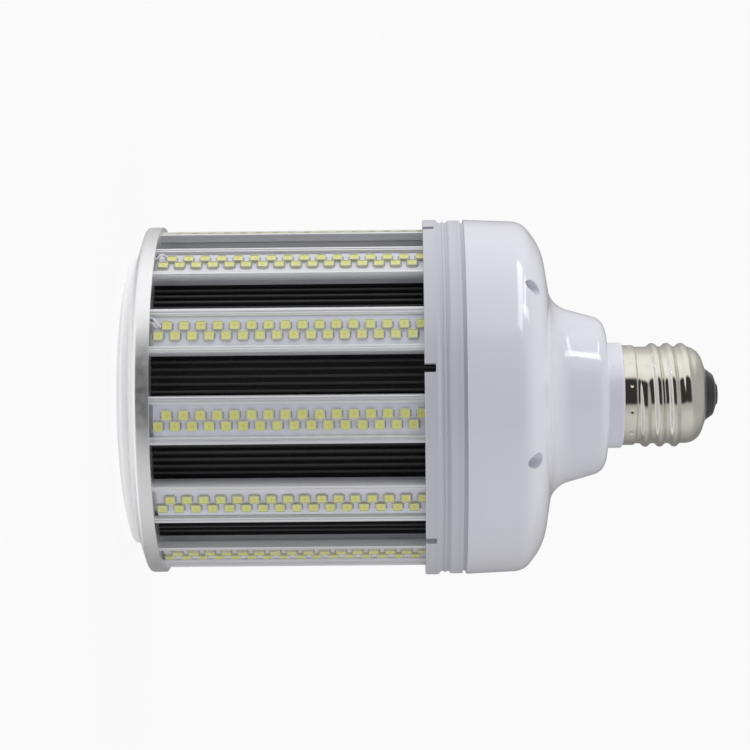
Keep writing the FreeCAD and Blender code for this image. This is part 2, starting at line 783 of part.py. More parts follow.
def make_tray():
    body = new_body("driver_tray")
    floor = f"{TRAY_FACE} + Size.tray_floor"
    inside = f"{TRAY_RADIUS} - Size.tray_wall"
    rib_inside = f"{TRAY_RIB_RADIUS} - Size.tray_rib_thick"
    revolve(
        body,
        "tray_turned",
        [
            ("Size.tray_wire_hole", TRAY_FACE),
            *tray_outside(),
            (inside, HOUSING_RIM),
            (inside, floor),
            (TRAY_RIB_RADIUS, floor),
            (TRAY_RIB_RADIUS, DRIVER_BOARD),
            (rib_inside, DRIVER_BOARD),
            (rib_inside, floor),
            ("Size.tray_wire_hole", floor),
        ],
    )
    column = new_sketch(body, "tray_column", height=TRAY_FACE, turn=HOUSING_ANGLES[0])
    draw_circle(column, f"{SCREW_CIRCLE} - Size.fit", "0", TRAY_COLUMN)
    raised = pad(body, column, "tray_column_rise", "Size.tray_height")
    repeat(body, raised, "tray_columns", HOUSING_SCREW_COUNT)
    pilot = new_sketch(
        body, "tray_pilot", height=f"{HOUSING_RIM} - Size.screw_bite", turn=HOUSING_ANGLES[0]
    )
    draw_circle(pilot, SCREW_CIRCLE, "0", "Size.screw_radius + Size.fit")
    bore = pocket(body, pilot, "tray_pilot_depth", "Size.screw_bite")
    repeat(body, bore, "tray_pilots", HOUSING_SCREW_COUNT)
    drill_core_holes(body, TRAY_FACE, "Size.tray_floor")
    return keep(body, "driver_tray")


# Driver housing: a turned shell with a round shoulder, a tapered neck and a spigot for the cap.
def make_housing():
    outside = new_body("housing_outside")
    tenon = "Size.shell_band_radius - Size.shell_wall - Size.fit"
    tenon_end = f"({SHELL_RIM} + Size.shell_band_height - Size.fit)"
    turned = revolve(
        outside,
        "housing_turned",
        [
            ("0", HOUSING_RIM),
            (HOUSING_RADIUS, HOUSING_RIM),
            (SHOULDER_RADIUS, SHOULDER),
            (CROWN_RADIUS, CROWN),
            (NECK_FOOT_RADIUS, NECK_FOOT),
            ("Size.neck_radius", NECK_END),
            ("Size.spigot_radius", NECK_END),
            ("Size.spigot_radius", SHELL_RIM),
            (tenon, SHELL_RIM),
            (tenon, tenon_end),
            ("0", tenon_end),
        ],
    )
    solid = turned
    for name, rounding, radius, height in (
        ("neck", NECK_ROUNDING, "Size.neck_radius", NECK_END),
        ("neck_foot", "Size.neck_foot_corner", NECK_FOOT_RADIUS, NECK_FOOT),
        ("crown", CROWN_ROUNDING, CROWN_RADIUS, CROWN),
        ("shoulder", "Size.shoulder_corner", SHOULDER_RADIUS, SHOULDER),
    ):
        solid = round_ring(outside, f"{name}_rounding", solid, rounding, radius, height)
    round_ring(
        outside, "spigot_rounding", solid, "Size.spigot_corner", "Size.spigot_radius", SHELL_RIM
    )

    cavity = new_body("housing_cavity")
    wall = "Size.housing_wall"
    revolve(
        cavity,
        "cavity_turned",
        [
            ("0", HOUSING_RIM),
            (f"{HOUSING_RADIUS} - {wall}", HOUSING_RIM),
            (f"{SHOULDER_RADIUS} - {wall}", f"{SHOULDER} - {wall}"),
            (f"{CROWN_RADIUS} - {wall}", f"{CROWN} - {wall}"),
            (f"{NECK_FOOT_RADIUS} - {wall}", f"{NECK_FOOT} - {wall}"),
            (f"Size.neck_radius - {wall}", f"{NECK_END} - {wall}"),
            ("Size.neck_bore", f"{NECK_END} - {wall}"),
            ("Size.neck_bore", tenon_end),
            ("0", tenon_end),
        ],
    )

    columns, drills = [], []
    recess = f"({HOUSING_RIM} + Size.recess_floor)"
    length = f"{NECK_END} - {HOUSING_RIM}"
    for k, angle in enumerate(HOUSING_ANGLES):
        x, y = on_circle(SCREW_CIRCLE, angle)
        column = ("Size.housing_column_radius", length, (x, y, HOUSING_RIM))
        columns.append(round_bar(f"housing_column_{k}", *column))
        passage = ("Size.screw_radius + Size.fit", length, (x, y, HOUSING_RIM))
        drills.append(round_bar(f"housing_passage_{k}", *passage))
        counterbore = ("Size.recess_radius", length, (x, y, recess))
        drills.append(round_bar(f"housing_recess_{k}", *counterbore))
    hollow = cut("housing_hollow", cavity, together("housing_columns", columns))
    shell = cut("housing_shell", outside, hollow)
    return keep(cut("driver_housing", shell, together("housing_drills", drills)), "driver_housing")


# Screws: a shank and a round head, each one solid, in one group for each kind.
def make_screw(name, spot, shank, shank_length, head, head_height, upwards):
    """A screw with its head seated at the spot and its shank running into the work."""
    x, y, seat = spot
    shank_foot = f"{seat} - {shank_length}" if upwards else seat
    head_foot = seat if upwards else f"{seat} - {head_height}"
    parts = [
        round_bar(name + "_shank", shank, shank_length, (x, y, shank_foot)),
        round_bar(name + "_head", head, head_height, (x, y, head_foot)),
    ]
    screw = doc.addObject("Part::Fuse", name)
    screw.Base, screw.Tool = parts
    return screw


def make_housing_screws():
    seat = f"({HOUSING_RIM} + Size.recess_floor)"
    screws = [
        make_screw(
            f"housing_screw_{k}",
            (*on_circle(SCREW_CIRCLE, angle), seat),
            "Size.screw_radius",
            "(Size.recess_floor + Size.screw_bite)",
            "Size.screw_head_radius",
            "Size.screw_head_height",
            True,
        )
        for k, angle in enumerate(HOUSING_ANGLES)
    ]
    return keep(together("housing_screws", screws), "housing_screws")


def make_core_screws(label, seat, upwards):
    screws = [
        make_screw(
            f"{label}_{k}",
            (*on_circle(BOSS_CIRCLE, angle), seat),
            "Size.core_screw_radius",
            "Size.core_screw_length",
            "Size.core_screw_head_radius",
            "Size.core_screw_head_height",
            upwards,
        )
        for k, angle in enumerate(CORE_ANGLES)
    ]
    return keep(together(label, screws), label)


# Screw shell: a thin nickel-plated cup with the rolled Edison thread.
def make_shell():
    body = new_body("screw_shell")
    wall = "Size.shell_wall"
    band_end = f"({SHELL_RIM} + Size.shell_band_height)"
    turned = revolve(
        body,
        "shell_turned",
        [
            (f"Size.shell_band_radius - {wall}", SHELL_RIM),
            ("Size.shell_band_radius", SHELL_RIM),
            ("Size.shell_band_radius", band_end),
            ("Size.thread_root_radius", f"{band_end} + {wall}"),
            ("Size.thread_root_radius", SHELL_END),
            ("Size.shell_mouth_radius", SHELL_END),
            ("Size.shell_mouth_radius", f"{SHELL_END} - {wall}"),
            (f"Size.thread_root_radius - {wall}", f"{SHELL_END} - {wall}"),
            (f"Size.thread_root_radius - {wall}", f"{band_end} + {wall}"),
            (f"Size.shell_band_radius - {wall}", f"{band_end}"),
        ],
    )
    inner = round_ring(
        body,
        "shell_inner_rounding",
        turned,
        f"Size.shell_corner - {wall}",
        f"Size.thread_root_radius - {wall}",
        f"{SHELL_END} - {wall}",
    )
    round_ring(
        body, "shell_rounding", inner, "Size.shell_corner", "Size.thread_root_radius", SHELL_END
    )
    punch_dimples(body)
    ridge = new_sketch(body, "thread_ridge", "XZ_Plane")
    ridge.AttachmentOffset = FreeCAD.Placement(
        FreeCAD.Vector(0, 0, 0), FreeCAD.Rotation(FreeCAD.Vector(0, 1, 0), 1)
    )
    bind(ridge, **{"AttachmentOffset.Rotation.Angle": "Size.thread_start_angle"})
    start = f"({SHELL_RIM} + Size.thread_start)"
    sunk = f"Size.thread_root_radius - {wall} / 2"
    draw_outline(
        ridge,
        [
            (sunk, f"{start} - Size.thread_base / 2"),
            ("Size.thread_crest_radius", f"{start} - Size.thread_tip / 2"),
            ("Size.thread_crest_radius", f"{start} + Size.thread_tip / 2"),
            (sunk, f"{start} + Size.thread_base / 2"),
        ],
    )
    thread = body.newObject("PartDesign::AdditiveHelix", "thread")
    thread.Profile = ridge
    thread.ReferenceAxis = (ridge, ["V_Axis"])
    thread.Mode = 0
    bind(thread, Pitch="Size.thread_pitch", Height="Size.thread_rise")
    body.Tip = thread
    return keep(body, "screw_shell")


def punch_dimples(body):
    """The dimples of a round-nosed punch, which fix the shell's band to the housing's tenon."""
    dimple = body.newObject("PartDesign::SubtractiveSphere", "dimple")
    dimple.AttachmentSupport = [(origin_part(body, "XY_Plane"), "")]
    dimple.MapMode = "FlatFace"
    bind(dimple, Radius="Size.dimple_ball")
    angle = f"({NEAR_SIDE} + Size.dimple_first_angle)"
    circle = "(Size.shell_band_radius + Size.dimple_ball - Size.dimple_depth)"
    spot = (*on_circle(circle, angle), f"{SHELL_RIM} + Size.dimple_rise")
    place(dimple, "AttachmentOffset", spot)
    repeat(body, dimple, "dimples", DIMPLE_COUNT)


# Insulator: black glass that fills the shell's mouth and carries the centre contact.
def make_insulator():
    body = new_body("cap_insulator")
    mouth = "(Size.shell_mouth_radius - Size.fit)"
    tip = f"({SHELL_END} + Size.insulator_rise)"
    revolve(
        body,
        "insulator_turned",
        [
            ("0", f"{SHELL_END} - Size.insulator_depth"),
            (f"{mouth} - Size.contact_depth", f"{SHELL_END} - Size.insulator_depth"),
            (mouth, f"{SHELL_END} - Size.shell_wall"),
            (mouth, SHELL_END),
            ("Size.insulator_tip_radius", f"{SHELL_END} + Size.insulator_slope"),
            ("Size.contact_radius + Size.fit", tip),
            ("Size.contact_radius + Size.fit", f"{tip} - Size.contact_depth"),
            ("0", f"{tip} - Size.contact_depth"),
        ],
    )
    return keep(body, "cap_insulator")


def make_contact():
    body = new_body("centre_contact")
    tip = f"({SHELL_END} + Size.insulator_rise)"
    button = revolve(
        body,
        "contact_turned",
        [
            ("0", f"{tip} - Size.contact_depth"),
            ("Size.contact_radius", f"{tip} - Size.contact_depth"),
            ("Size.contact_radius", f"{tip} + Size.contact_rise"),
            ("0", f"{tip} + Size.contact_rise"),
        ],
    )
    round_ring(
        body,
        "contact_rounding",
        button,
        "Size.contact_corner",
        "Size.contact_radius",
        f"{tip} + Size.contact_rise",
    )
    return keep(body, "centre_contact")


# Driver board and what it carries, inside the housing.
def make_driver_board():
    body = new_body("driver_board")
    sketch = new_sketch(body, "driver_board_disc", height=DRIVER_BOARD)
    draw_circle(sketch, "0", "0", DRIVER_BOARD_RADIUS)
    pad(body, sketch, "driver_board_plate", "Size.driver_board_thick")
    return keep(body, "driver_board")


def make_block(label, kind, rise, x, y):
    """A moulded block on the driver board, with its middle at (x, y)."""
    block = doc.addObject("Part::Box", label)
    wide, deep = f"Size.{kind}_width", f"Size.{kind}_depth"
    bind(block, Length=wide, Width=deep, Height=rise)
    place(block, "Placement", (f"{x} - {wide} / 2", f"{y} - {deep} / 2", BOARD_FACE))
    return keep(block, label)


def make_driver_parts():
    along = "-1 * Size.transformer_offset"
    make_block("driver_transformer", "transformer", DRIVER_ROOM, "0", along)
    along = "Size.rectifier_offset"
    make_block("driver_rectifier", "rectifier", "Size.rectifier_rise", "0", along)
    cans = []
    for k, angle in enumerate(CAPACITOR_ANGLES):
        spot = (*on_circle("Size.capacitor_circle", angle), BOARD_FACE)
        cans.append(round_bar(f"capacitor_{k}", "Size.capacitor_radius", DRIVER_ROOM, spot))
    keep(together("driver_capacitors", cans), "driver_capacitors")
    spot = (f"Size.choke_inset - {DRIVER_BOARD_RADIUS}", "0", BOARD_FACE)
    choke = round_bar("choke_outside", "Size.choke_radius", "Size.choke_rise", spot)
    middle = round_bar("choke_middle", "Size.choke_bore", "Size.choke_rise", spot)
    keep(cut("driver_choke", choke, middle), "driver_choke")


def make_strips():
    for number in range(STRIP_COUNT):
        angle = strip_angle(number)
        make_carrier(number + 1, angle)
        make_board(number + 1, angle)
        make_chips(number + 1, angle)


def check_and_write():
    """Stops at the first object that failed, then writes one file for each piece."""
    doc.recompute()
    for item in doc.Objects:
        if "Invalid" in item.State or "Error" in item.State:
            raise RuntimeError(f"{item.Name} failed: {item.State}")
    for item in nodes:
        shape = item.Shape
        if shape.isNull() or not shape.isValid() or not shape.Solids:
            raise RuntimeError(f"{item.Label} has no valid solid")
    for item in nodes:
        item.Shape.exportStep(f"parts/{item.Label}.step")
        solids = item.Shape.Solids
        volume = sum(solid.Volume for solid in solids)
        print(f"{item.Label}: {len(solids)} solid(s), {volume:.1f} mm3")


make_lens()
make_end_ring()
make_head_board()
make_head_chips()
make_core_screws("head_screws", HEAD_BOARD, False)
make_core()
make_strips()
make_leads()
make_collar()
make_tray()
make_core_screws("tray_screws", f"({TRAY_FACE} + Size.tray_floor)", True)
make_driver_board()
make_driver_parts()
make_housing()
make_housing_screws()
make_shell()
make_insulator()
make_contact()
check_and_write()
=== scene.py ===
# %% [markdown]
# # A corn LED bulb, dressed for its photograph
# The bulb is a black heat sink tube with twelve LED strips round it, an opal lens and an
# aluminium ring at the head, a white driver housing, and an E27 screw cap.
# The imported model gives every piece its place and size. This lesson builds the pieces that
# show as finer meshes over it, finishes all of them, and sets the light and the camera.

import math

import bmesh
import bpy
from mathutils import Matrix, Vector


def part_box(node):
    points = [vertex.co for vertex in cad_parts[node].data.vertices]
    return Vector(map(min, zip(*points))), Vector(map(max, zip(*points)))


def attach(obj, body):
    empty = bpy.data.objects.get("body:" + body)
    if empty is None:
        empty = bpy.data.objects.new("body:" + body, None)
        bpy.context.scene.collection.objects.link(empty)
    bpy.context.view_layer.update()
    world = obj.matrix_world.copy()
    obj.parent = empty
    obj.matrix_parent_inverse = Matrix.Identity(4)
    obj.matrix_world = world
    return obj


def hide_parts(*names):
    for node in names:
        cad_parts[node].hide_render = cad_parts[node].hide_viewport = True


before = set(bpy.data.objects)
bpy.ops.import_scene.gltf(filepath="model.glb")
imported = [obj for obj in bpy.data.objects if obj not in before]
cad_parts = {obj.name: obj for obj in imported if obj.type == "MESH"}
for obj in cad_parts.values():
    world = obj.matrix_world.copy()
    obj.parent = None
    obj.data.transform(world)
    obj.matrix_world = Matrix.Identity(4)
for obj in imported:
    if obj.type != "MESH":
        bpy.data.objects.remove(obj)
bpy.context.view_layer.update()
MM = 0.001
print("nodes in the packed model:", len(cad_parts))

# %% [markdown]
# ## Seams and radii
# Every piece is built in the model's own frame, in metres: the bulb stands on its lens at the
# origin and +Z runs to the cap. The seams could be typed in, but they are read from the packed
# nodes, so that the meshes stay on the solids that they dress. Smaller sizes are written where
# they are needed, in millimetres.


# %% Reading the seams
def height_range(node):
    low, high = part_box(node)
    return low.z, high.z


def outer_radius(node):
    low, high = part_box(node)
    return (high.x - low.x) / 2


RING_FRONT, RING_BACK = height_range("end_ring")
COLLAR_FACE, TRAY_FACE = height_range("collar_ring")
HOUSING_RIM = height_range("driver_tray")[1]
SHELL_RIM, SHELL_END = height_range("screw_shell")
STRIP_END = height_range("strip_carrier_01")[1]
LENS_RADIUS = outer_radius("end_lens")
RING_RADIUS = outer_radius("end_ring")
COLLAR_RADIUS = outer_radius("collar_ring")
STRIPS = 12
# Angles that are measured in the photograph run from the side towards the camera.
NEAR_SIDE = math.radians(-90)
STRIP_ANGLES = [NEAR_SIDE + math.radians(7 + 360 * k / STRIPS) for k in range(STRIPS)]
print(f"strips run from {RING_BACK / MM:.1f} to {STRIP_END / MM:.1f} mm")

# %% [markdown]
# ## Helpers for outlines
# Most of the bulb is turned or extruded, so most pieces start as a flat outline. An outline is
# a short list of corners, each with its own rounding, and `soften` turns each rounding into an
# arc. That keeps the numbers few, and a size can be changed without touching the others.


# %% Rounded outlines
def soften(corners, steps):
    """Points of a closed outline, in metres, from corners (x, y, rounding) in millimetres."""
    points = []
    before = corners[-1:] + corners[:-1]
    after = corners[1:] + corners[:1]
    for last, corner, following in zip(before, corners, after):
        here = Vector(corner[:2])
        rounding = corner[2]
        if rounding == 0:
            points.append(here * MM)
            continue
        back = (Vector(last[:2]) - here).normalized()
        ahead = (Vector(following[:2]) - here).normalized()
        half = back.angle(ahead) / 2
        middle = here + (back + ahead).normalized() * (rounding / math.sin(half))
        reach = rounding / math.tan(half)
        start = (here + back * reach - middle).normalized()
        end = (here + ahead * reach - middle).normalized()
        for step in range(steps + 1):
            points.append((middle + start.slerp(end, step / steps) * rounding) * MM)
    return points


def turn_round(bm, points, steps, closed):
    """Spins an outline of radius and height about the bulb's axis."""
    verts = [bm.verts.new((x, 0, z)) for x, z in points]
    pairs = list(zip(verts, verts[1:]))
    if closed:
        pairs.append((verts[-1], verts[0]))
    edges = [bm.edges.new(pair) for pair in pairs]
    bmesh.ops.spin(
        bm,
        geom=verts + edges,
        cent=(0, 0, 0),
        axis=(0, 0, 1),
        angle=2 * math.pi,
        steps=steps,
        use_merge=True,
    )


def turned(corners, steps=192, arc_steps=5, closed=True):
    """A turned shape from corners (radius, height, rounding) in millimetres.

    An outline that starts and ends on the axis isn't closed, because the spin closes it.
    """
    bm = bmesh.new()
    turn_round(bm, soften(corners, arc_steps), steps, closed)
    return bm


def extruded(loops, low, high):
    """Fills outlines, holes included, and pulls the face up into a bar."""
    bm = bmesh.new()
    edges = []
    for points in loops:
        verts = [bm.verts.new((x, y, low)) for x, y in points]
        edges += [bm.edges.new(pair) for pair in zip(verts, verts[1:] + verts[:1])]
    filled = bmesh.ops.triangle_fill(bm, edges=edges, use_beauty=True)
    faces = [item for item in filled["geom"] if isinstance(item, bmesh.types.BMFace)]
    raised = bmesh.ops.extrude_face_region(bm, geom=faces)
    lifted = [item for item in raised["geom"] if isinstance(item, bmesh.types.BMVert)]
    bmesh.ops.translate(bm, verts=lifted, vec=(0, 0, high - low))
    return bm


# %% [markdown]
# ## Helpers for solids
# A cut such as a notch or a screw recess is made the way a machinist would make it: a tool
# solid is taken away from the blank. `tidy` welds doubles first and then turns every face
# outwards, because the Boolean needs closed shapes that point the right way. `keep_piece` makes
# the finished shape an object and hides the imported nodes that it stands for.


# %% Cutting
WELD = 0.002 * MM
# How far a cutting tool runs past the face that it cuts, in millimetres.
OVERSHOOT = 1.0
# A small gap between pieces that fit into each other, in millimetres.
FIT = 0.05


def tidy(bm):
    bmesh.ops.remove_doubles(bm, verts=bm.verts, dist=WELD)
    bmesh.ops.recalc_face_normals(bm, faces=bm.faces)


def blank(bm):
    """An object that holds the shape while it is cut."""
    tidy(bm)
    mesh = bpy.data.meshes.new("blank")
    bm.to_mesh(mesh)
    bm.free()
    shape = bpy.data.objects.new("blank", mesh)
    bpy.context.scene.collection.objects.link(shape)
    return shape


def cut_away(bm, tool):
    """Takes a closed tool out of a closed shape and gives what is left."""
    work, cutter = blank(bm), blank(tool)
    boolean = work.modifiers.new("cut", "BOOLEAN")
    boolean.object = cutter
    boolean.operation = "DIFFERENCE"
    boolean.solver = "EXACT"
    graph = bpy.context.evaluated_depsgraph_get()
    left = bmesh.new()
    left.from_mesh(work.evaluated_get(graph).to_mesh())
    for shape in (work, cutter):
        bpy.data.objects.remove(shape)
    return left


def upright_bar(radius, low, high, spot, sides):
    """A round bar, in metres, for drilling."""
    bm = bmesh.new()
    middle = Matrix.Translation((spot[0], spot[1], (low + high) / 2))
    bmesh.ops.create_cone(
        bm,
        cap_ends=True,
        segments=sides,
        radius1=radius,
        radius2=radius,
        depth=high - low,
        matrix=middle,
    )
    return bm


def joined(shapes):
    """Several bmeshes in one."""
    whole = bmesh.new()
    for shape in shapes:
        mesh = bpy.data.meshes.new("part")
        shape.to_mesh(mesh)
        shape.free()
        whole.from_mesh(mesh)
        bpy.data.meshes.remove(mesh)
    return whole


def on_circle(radius, angle):
    return radius * math.cos(angle), radius * math.sin(angle)


def turn_to(bm, angle):
    """Turns a shape about the bulb's axis."""
    bmesh.ops.rotate(bm, verts=bm.verts, matrix=Matrix.Rotation(angle, 3, "Z"))


# %% Keeping
def keep_piece(bm, name, finishes, stands_for, sharp=35):
    """Makes a bmesh a piece of the bulb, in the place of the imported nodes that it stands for."""
    tidy(bm)
    loose = sum(not edge.is_manifold for edge in bm.edges)
    mesh = bpy.data.meshes.new(name)
    bm.to_mesh(mesh)
    bm.free()
    mesh.shade_smooth()
    mesh.set_sharp_from_angle(angle=math.radians(sharp))
    for finish in finishes:
        mesh.materials.append(finish)
    piece = bpy.data.objects.new(name, mesh)
    bpy.context.scene.collection.objects.link(piece)
    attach(piece, "root")
    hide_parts(*stands_for)
    mesh.calc_loop_triangles()
    print(f"{name}: {len(mesh.loop_triangles)} triangles, {loose} open edges")
    return piece


# %% [markdown]
# ## Helpers for finishes
# A finish starts from the Principled shader with its constants on its own sockets. Then a noise
# on Object coordinates varies its colour, its roughness or its surface, at the scale of the real
# grain. Pictures could do this too, but a noise has no seam and stays sharp close up. Object
# coordinates are metres here, so a scale of 2000 is a grain of 0.5 mm.


# %% Building a finish
def new_finish(name, **constants):
    finish = bpy.data.materials.new(name)
    finish.use_nodes = True
    shader = finish.node_tree.nodes["Principled BSDF"]
    for socket, number in constants.items():
        shader.inputs[socket.replace("_", " ")].default_value = number
    return finish


def add_node(owner, kind, **settings):
    """Adds a node to a material's tree, or to the world's."""
    node = owner.node_tree.nodes.new(kind)
    for name, setting in settings.items():
        setattr(node, name, setting)
    return node


def connect(owner, output, socket):
    owner.node_tree.links.new(output, socket)


def shader_socket(finish, name):
    return finish.node_tree.nodes["Principled BSDF"].inputs[name]


# %% Grains
def noise_at(finish, place, scale, detail=2.0):
    """A noise that reads the vector it is given."""
    noise = add_node(finish, "ShaderNodeTexNoise")
    noise.inputs["Scale"].default_value = scale
    noise.inputs["Detail"].default_value = detail
    connect(finish, place, noise.inputs["Vector"])
    return noise.outputs["Fac"]


def grain(finish, scale, stretch=(1, 1, 1), detail=2.0):
    """A noise on Object coordinates, stretched along one direction for a drawn or cut metal."""
    place = add_node(finish, "ShaderNodeTexCoord")
    mapping = add_node(finish, "ShaderNodeMapping")
    mapping.inputs["Scale"].default_value = stretch
    connect(finish, place.outputs["Object"], mapping.inputs["Vector"])
    return noise_at(finish, mapping.outputs["Vector"], scale, detail)


def turned_grain(finish, scale):
    """A noise that depends on radius and height alone, as the lines of a lathe tool do."""
    place = add_node(finish, "ShaderNodeTexCoord")
    flat = add_node(finish, "ShaderNodeVectorMath", operation="MULTIPLY")
    flat.inputs[1].default_value = (1, 1, 0)
    length = add_node(finish, "ShaderNodeVectorMath", operation="LENGTH")
    parts = add_node(finish, "ShaderNodeSeparateXYZ")
    whole = add_node(finish, "ShaderNodeCombineXYZ")
    connect(finish, place.outputs["Object"], flat.inputs[0])
    connect(finish, flat.outputs["Vector"], length.inputs[0])
    connect(finish, place.outputs["Object"], parts.inputs["Vector"])
    connect(finish, length.outputs["Value"], whole.inputs["X"])
    connect(finish, parts.outputs["Z"], whole.inputs["Z"])
    return noise_at(finish, whole.outputs["Vector"], scale)


# %% Colour, roughness and surface from a grain
# A noise seldom leaves these levels, so they take the whole range of a finish.
NOISE_LOW, NOISE_HIGH = 0.3, 0.7


def tint(finish, factor, dark, light):
    """Runs the base colour from dark to light with the noise."""
    ramp = add_node(finish, "ShaderNodeValToRGB")
    stops = ((NOISE_LOW, dark), (NOISE_HIGH, light))
    for element, (position, colour) in zip(ramp.color_ramp.elements, stops):
        element.position = position
        element.color = (*colour, 1)
    connect(finish, factor, ramp.inputs["Fac"])
    connect(finish, ramp.outputs["Color"], shader_socket(finish, "Base Color"))


def vary_roughness(finish, factor, low, high):
    """Runs the roughness from low to high with the noise."""
    spread = add_node(finish, "ShaderNodeMapRange")
    spread.inputs["From Min"].default_value = NOISE_LOW
    spread.inputs["From Max"].default_value = NOISE_HIGH
    spread.inputs["To Min"].default_value = low
    spread.inputs["To Max"].default_value = high
    connect(finish, factor, spread.inputs["Value"])
    connect(finish, spread.outputs["Result"], shader_socket(finish, "Roughness"))


def roughen(finish, factor, height, strength):
    """Raises the surface by the noise, with its height in metres."""
    bump = add_node(finish, "ShaderNodeBump")
    bump.inputs["Strength"].default_value = strength
    bump.inputs["Distance"].default_value = height
    connect(finish, factor, bump.inputs["Height"])
    connect(finish, bump.outputs["Normal"], shader_socket(finish, "Normal"))


def mottled(name, colour, roughness, **constants):
    """A finish from (grain, dark, light) for its colour and (grain, low, high) for roughness."""
    finish = new_finish(name, **constants)
    tint(finish, grain(finish, colour[0]), *colour[1:])
    vary_roughness(finish, grain(finish, roughness[0]), *roughness[1:])
    return finish


# %% [markdown]
# ## Aluminium
# The carriers are an extrusion, so their grain is fine lines along the bulb: the noise is
# stretched a few hundred times. They are only half metallic, which keeps them pale from every
# side, as in the photograph. The end ring is turned, so its lines run round it, and a noise of
# radius and height makes them. The core is an extrusion too, anodised black.

# %% Aluminium
TOOL_MARKS = 0.004 * MM

extruded_metal = new_finish("extruded_aluminium", Metallic=0.5)
drawn_tone = grain(extruded_metal, 6, (420, 420, 1))
tint(extruded_metal, drawn_tone, (0.84, 0.84, 0.85), (0.92, 0.92, 0.93))
vary_roughness(extruded_metal, grain(extruded_metal, 8, (300, 300, 2)), 0.38, 0.5)
roughen(extruded_metal, grain(extruded_metal, 6, (500, 500, 1)), TOOL_MARKS, 0.5)

turned_metal = new_finish("turned_aluminium", Metallic=1.0)
tint(turned_metal, turned_grain(turned_metal, 900), (0.90, 0.90, 0.91), (0.96, 0.96, 0.97))
vary_roughness(turned_metal, grain(turned_metal, 500), 0.32, 0.42)
roughen(turned_metal, turned_grain(turned_metal, 2600), TOOL_MARKS, 0.5)

anodised = new_finish("black_anodised", Metallic=0.0, Specular_IOR_Level=0.8)
tint(anodised, grain(anodised, 5, (300, 300, 1)), (0.010, 0.010, 0.011), (0.020, 0.020, 0.022))
vary_roughness(anodised, grain(anodised, 900), 0.52, 0.66)
roughen(anodised, grain(anodised, 6, (500, 500, 1)), TOOL_MARKS, 0.5)

print("aluminium:", extruded_metal.name, turned_metal.name, anodised.name)

# %% [markdown]
# ## Plated metals
# The cap is bright nickel, a little warm, so it gets the lowest roughness of all the metals. The
# screws are zinc plated, the packages are soldered, and the contact is dull tin whose dark colour
# is a painted dark reflection.
# These pieces are small, so an even mottle is enough and no direction of grain is needed.

# %% Plated metals
nickel = mottled(
    "nickel_plate",
    (260, (0.76, 0.73, 0.645), (0.83, 0.81, 0.73)),
    (900, 0.06, 0.12),
    Metallic=1.0,
)
roughen(nickel, grain(nickel, 700), TOOL_MARKS, 0.2)
zinc = mottled(
    "zinc_plate",
    (700, (0.50, 0.50, 0.50), (0.66, 0.66, 0.65)),
    (1500, 0.25, 0.42),
    Metallic=1.0,
)
solder = mottled(
    "solder",
    (1200, (0.50, 0.50, 0.50), (0.64, 0.64, 0.63)),
    (2500, 0.5, 0.65),
    Metallic=1.0,
)
# The contact's dark colour is a painted dark reflection.
tin_painted_dark = mottled(
    "tin_painted_dark",
    (900, (0.10, 0.10, 0.09), (0.2, 0.19, 0.17)),
    (2500, 0.5, 0.7),
    Metallic=0.6,
)
print("plated metals:", nickel.name, zinc.name, solder.name, tin_painted_dark.name)

# %% [markdown]
# ## White plastics
# The housing is a glossy moulding with a cool tint. A clear coat gives it sharp reflections over
# a softer body, and the spigot under the cap is the same plastic with a duller coat. The coat's
# roughness could follow the height, but an export keeps only a plain number there, so the spigot
# has a material of its own. The collar and tray are the same plastic with a fine satin skin.


# %% White plastics
def housing_finish(name, coat_roughness):
    finish = mottled(
        name,
        (35, (0.79, 0.785, 0.845), (0.82, 0.815, 0.875)),
        (120, 0.35, 0.45),
        Specular_IOR_Level=0.15,
        Coat_Weight=1.0,
        Coat_IOR=1.55,
        Coat_Roughness=coat_roughness,
    )
    roughen(finish, grain(finish, 160), 0.01 * MM, 0.15)
    return finish


glossy_plastic = housing_finish("housing_plastic", 0.08)
spigot_plastic = housing_finish("spigot_plastic", 0.45)

satin_plastic = new_finish("collar_plastic", Specular_IOR_Level=0.9)
tint(satin_plastic, turned_grain(satin_plastic, 700), (0.60, 0.60, 0.65), (0.65, 0.65, 0.70))
vary_roughness(satin_plastic, grain(satin_plastic, 500), 0.3, 0.4)
roughen(satin_plastic, grain(satin_plastic, 1800), TOOL_MARKS, 0.4)
print("white plastics:", glossy_plastic.name, spigot_plastic.name, satin_plastic.name)

# %% [markdown]
# ## Opal plastic
# Light goes a little way into an opal lens and comes out again softly, which subsurface
# scattering does. A plain white plastic would look hard beside it. A faint glow is painted light
# over the whole lens, standing in for the light that comes through from the far side, which the
# scattering alone leaves out.

# %% Opal plastic
opal = mottled(
    "opal_lens",
    (60, (0.93, 0.93, 0.93), (0.96, 0.96, 0.95)),
    (300, 0.3, 0.38),
    Subsurface_Weight=1.0,
    Subsurface_Scale=5 * MM,
    Subsurface_Radius=(1, 1, 1),
    # Painted light: the lens glows faintly, though it is no lamp.
    Emission_Color=(1, 1, 1, 1),
    Emission_Strength=0.15,
)
print("opal plastic:", opal.name)

# %% [markdown]
# ## Boards and package bodies
# A board is white solder mask, a lacquer with a low gloss over it. Each LED package has a paler
# frame round its top and darker olive sides, partly the body's tint and partly painted shade, so
# two finishes are shared by hundreds of copies.

# %% Boards and package bodies
board_white = mottled(
    "board_white",
    (240, (0.80, 0.80, 0.87), (0.84, 0.84, 0.92)),
    (900, 0.3, 0.4),
    Coat_Weight=0.6,
    Coat_Roughness=0.3,
)
roughen(board_white, grain(board_white, 1500), 0.006 * MM, 0.4)
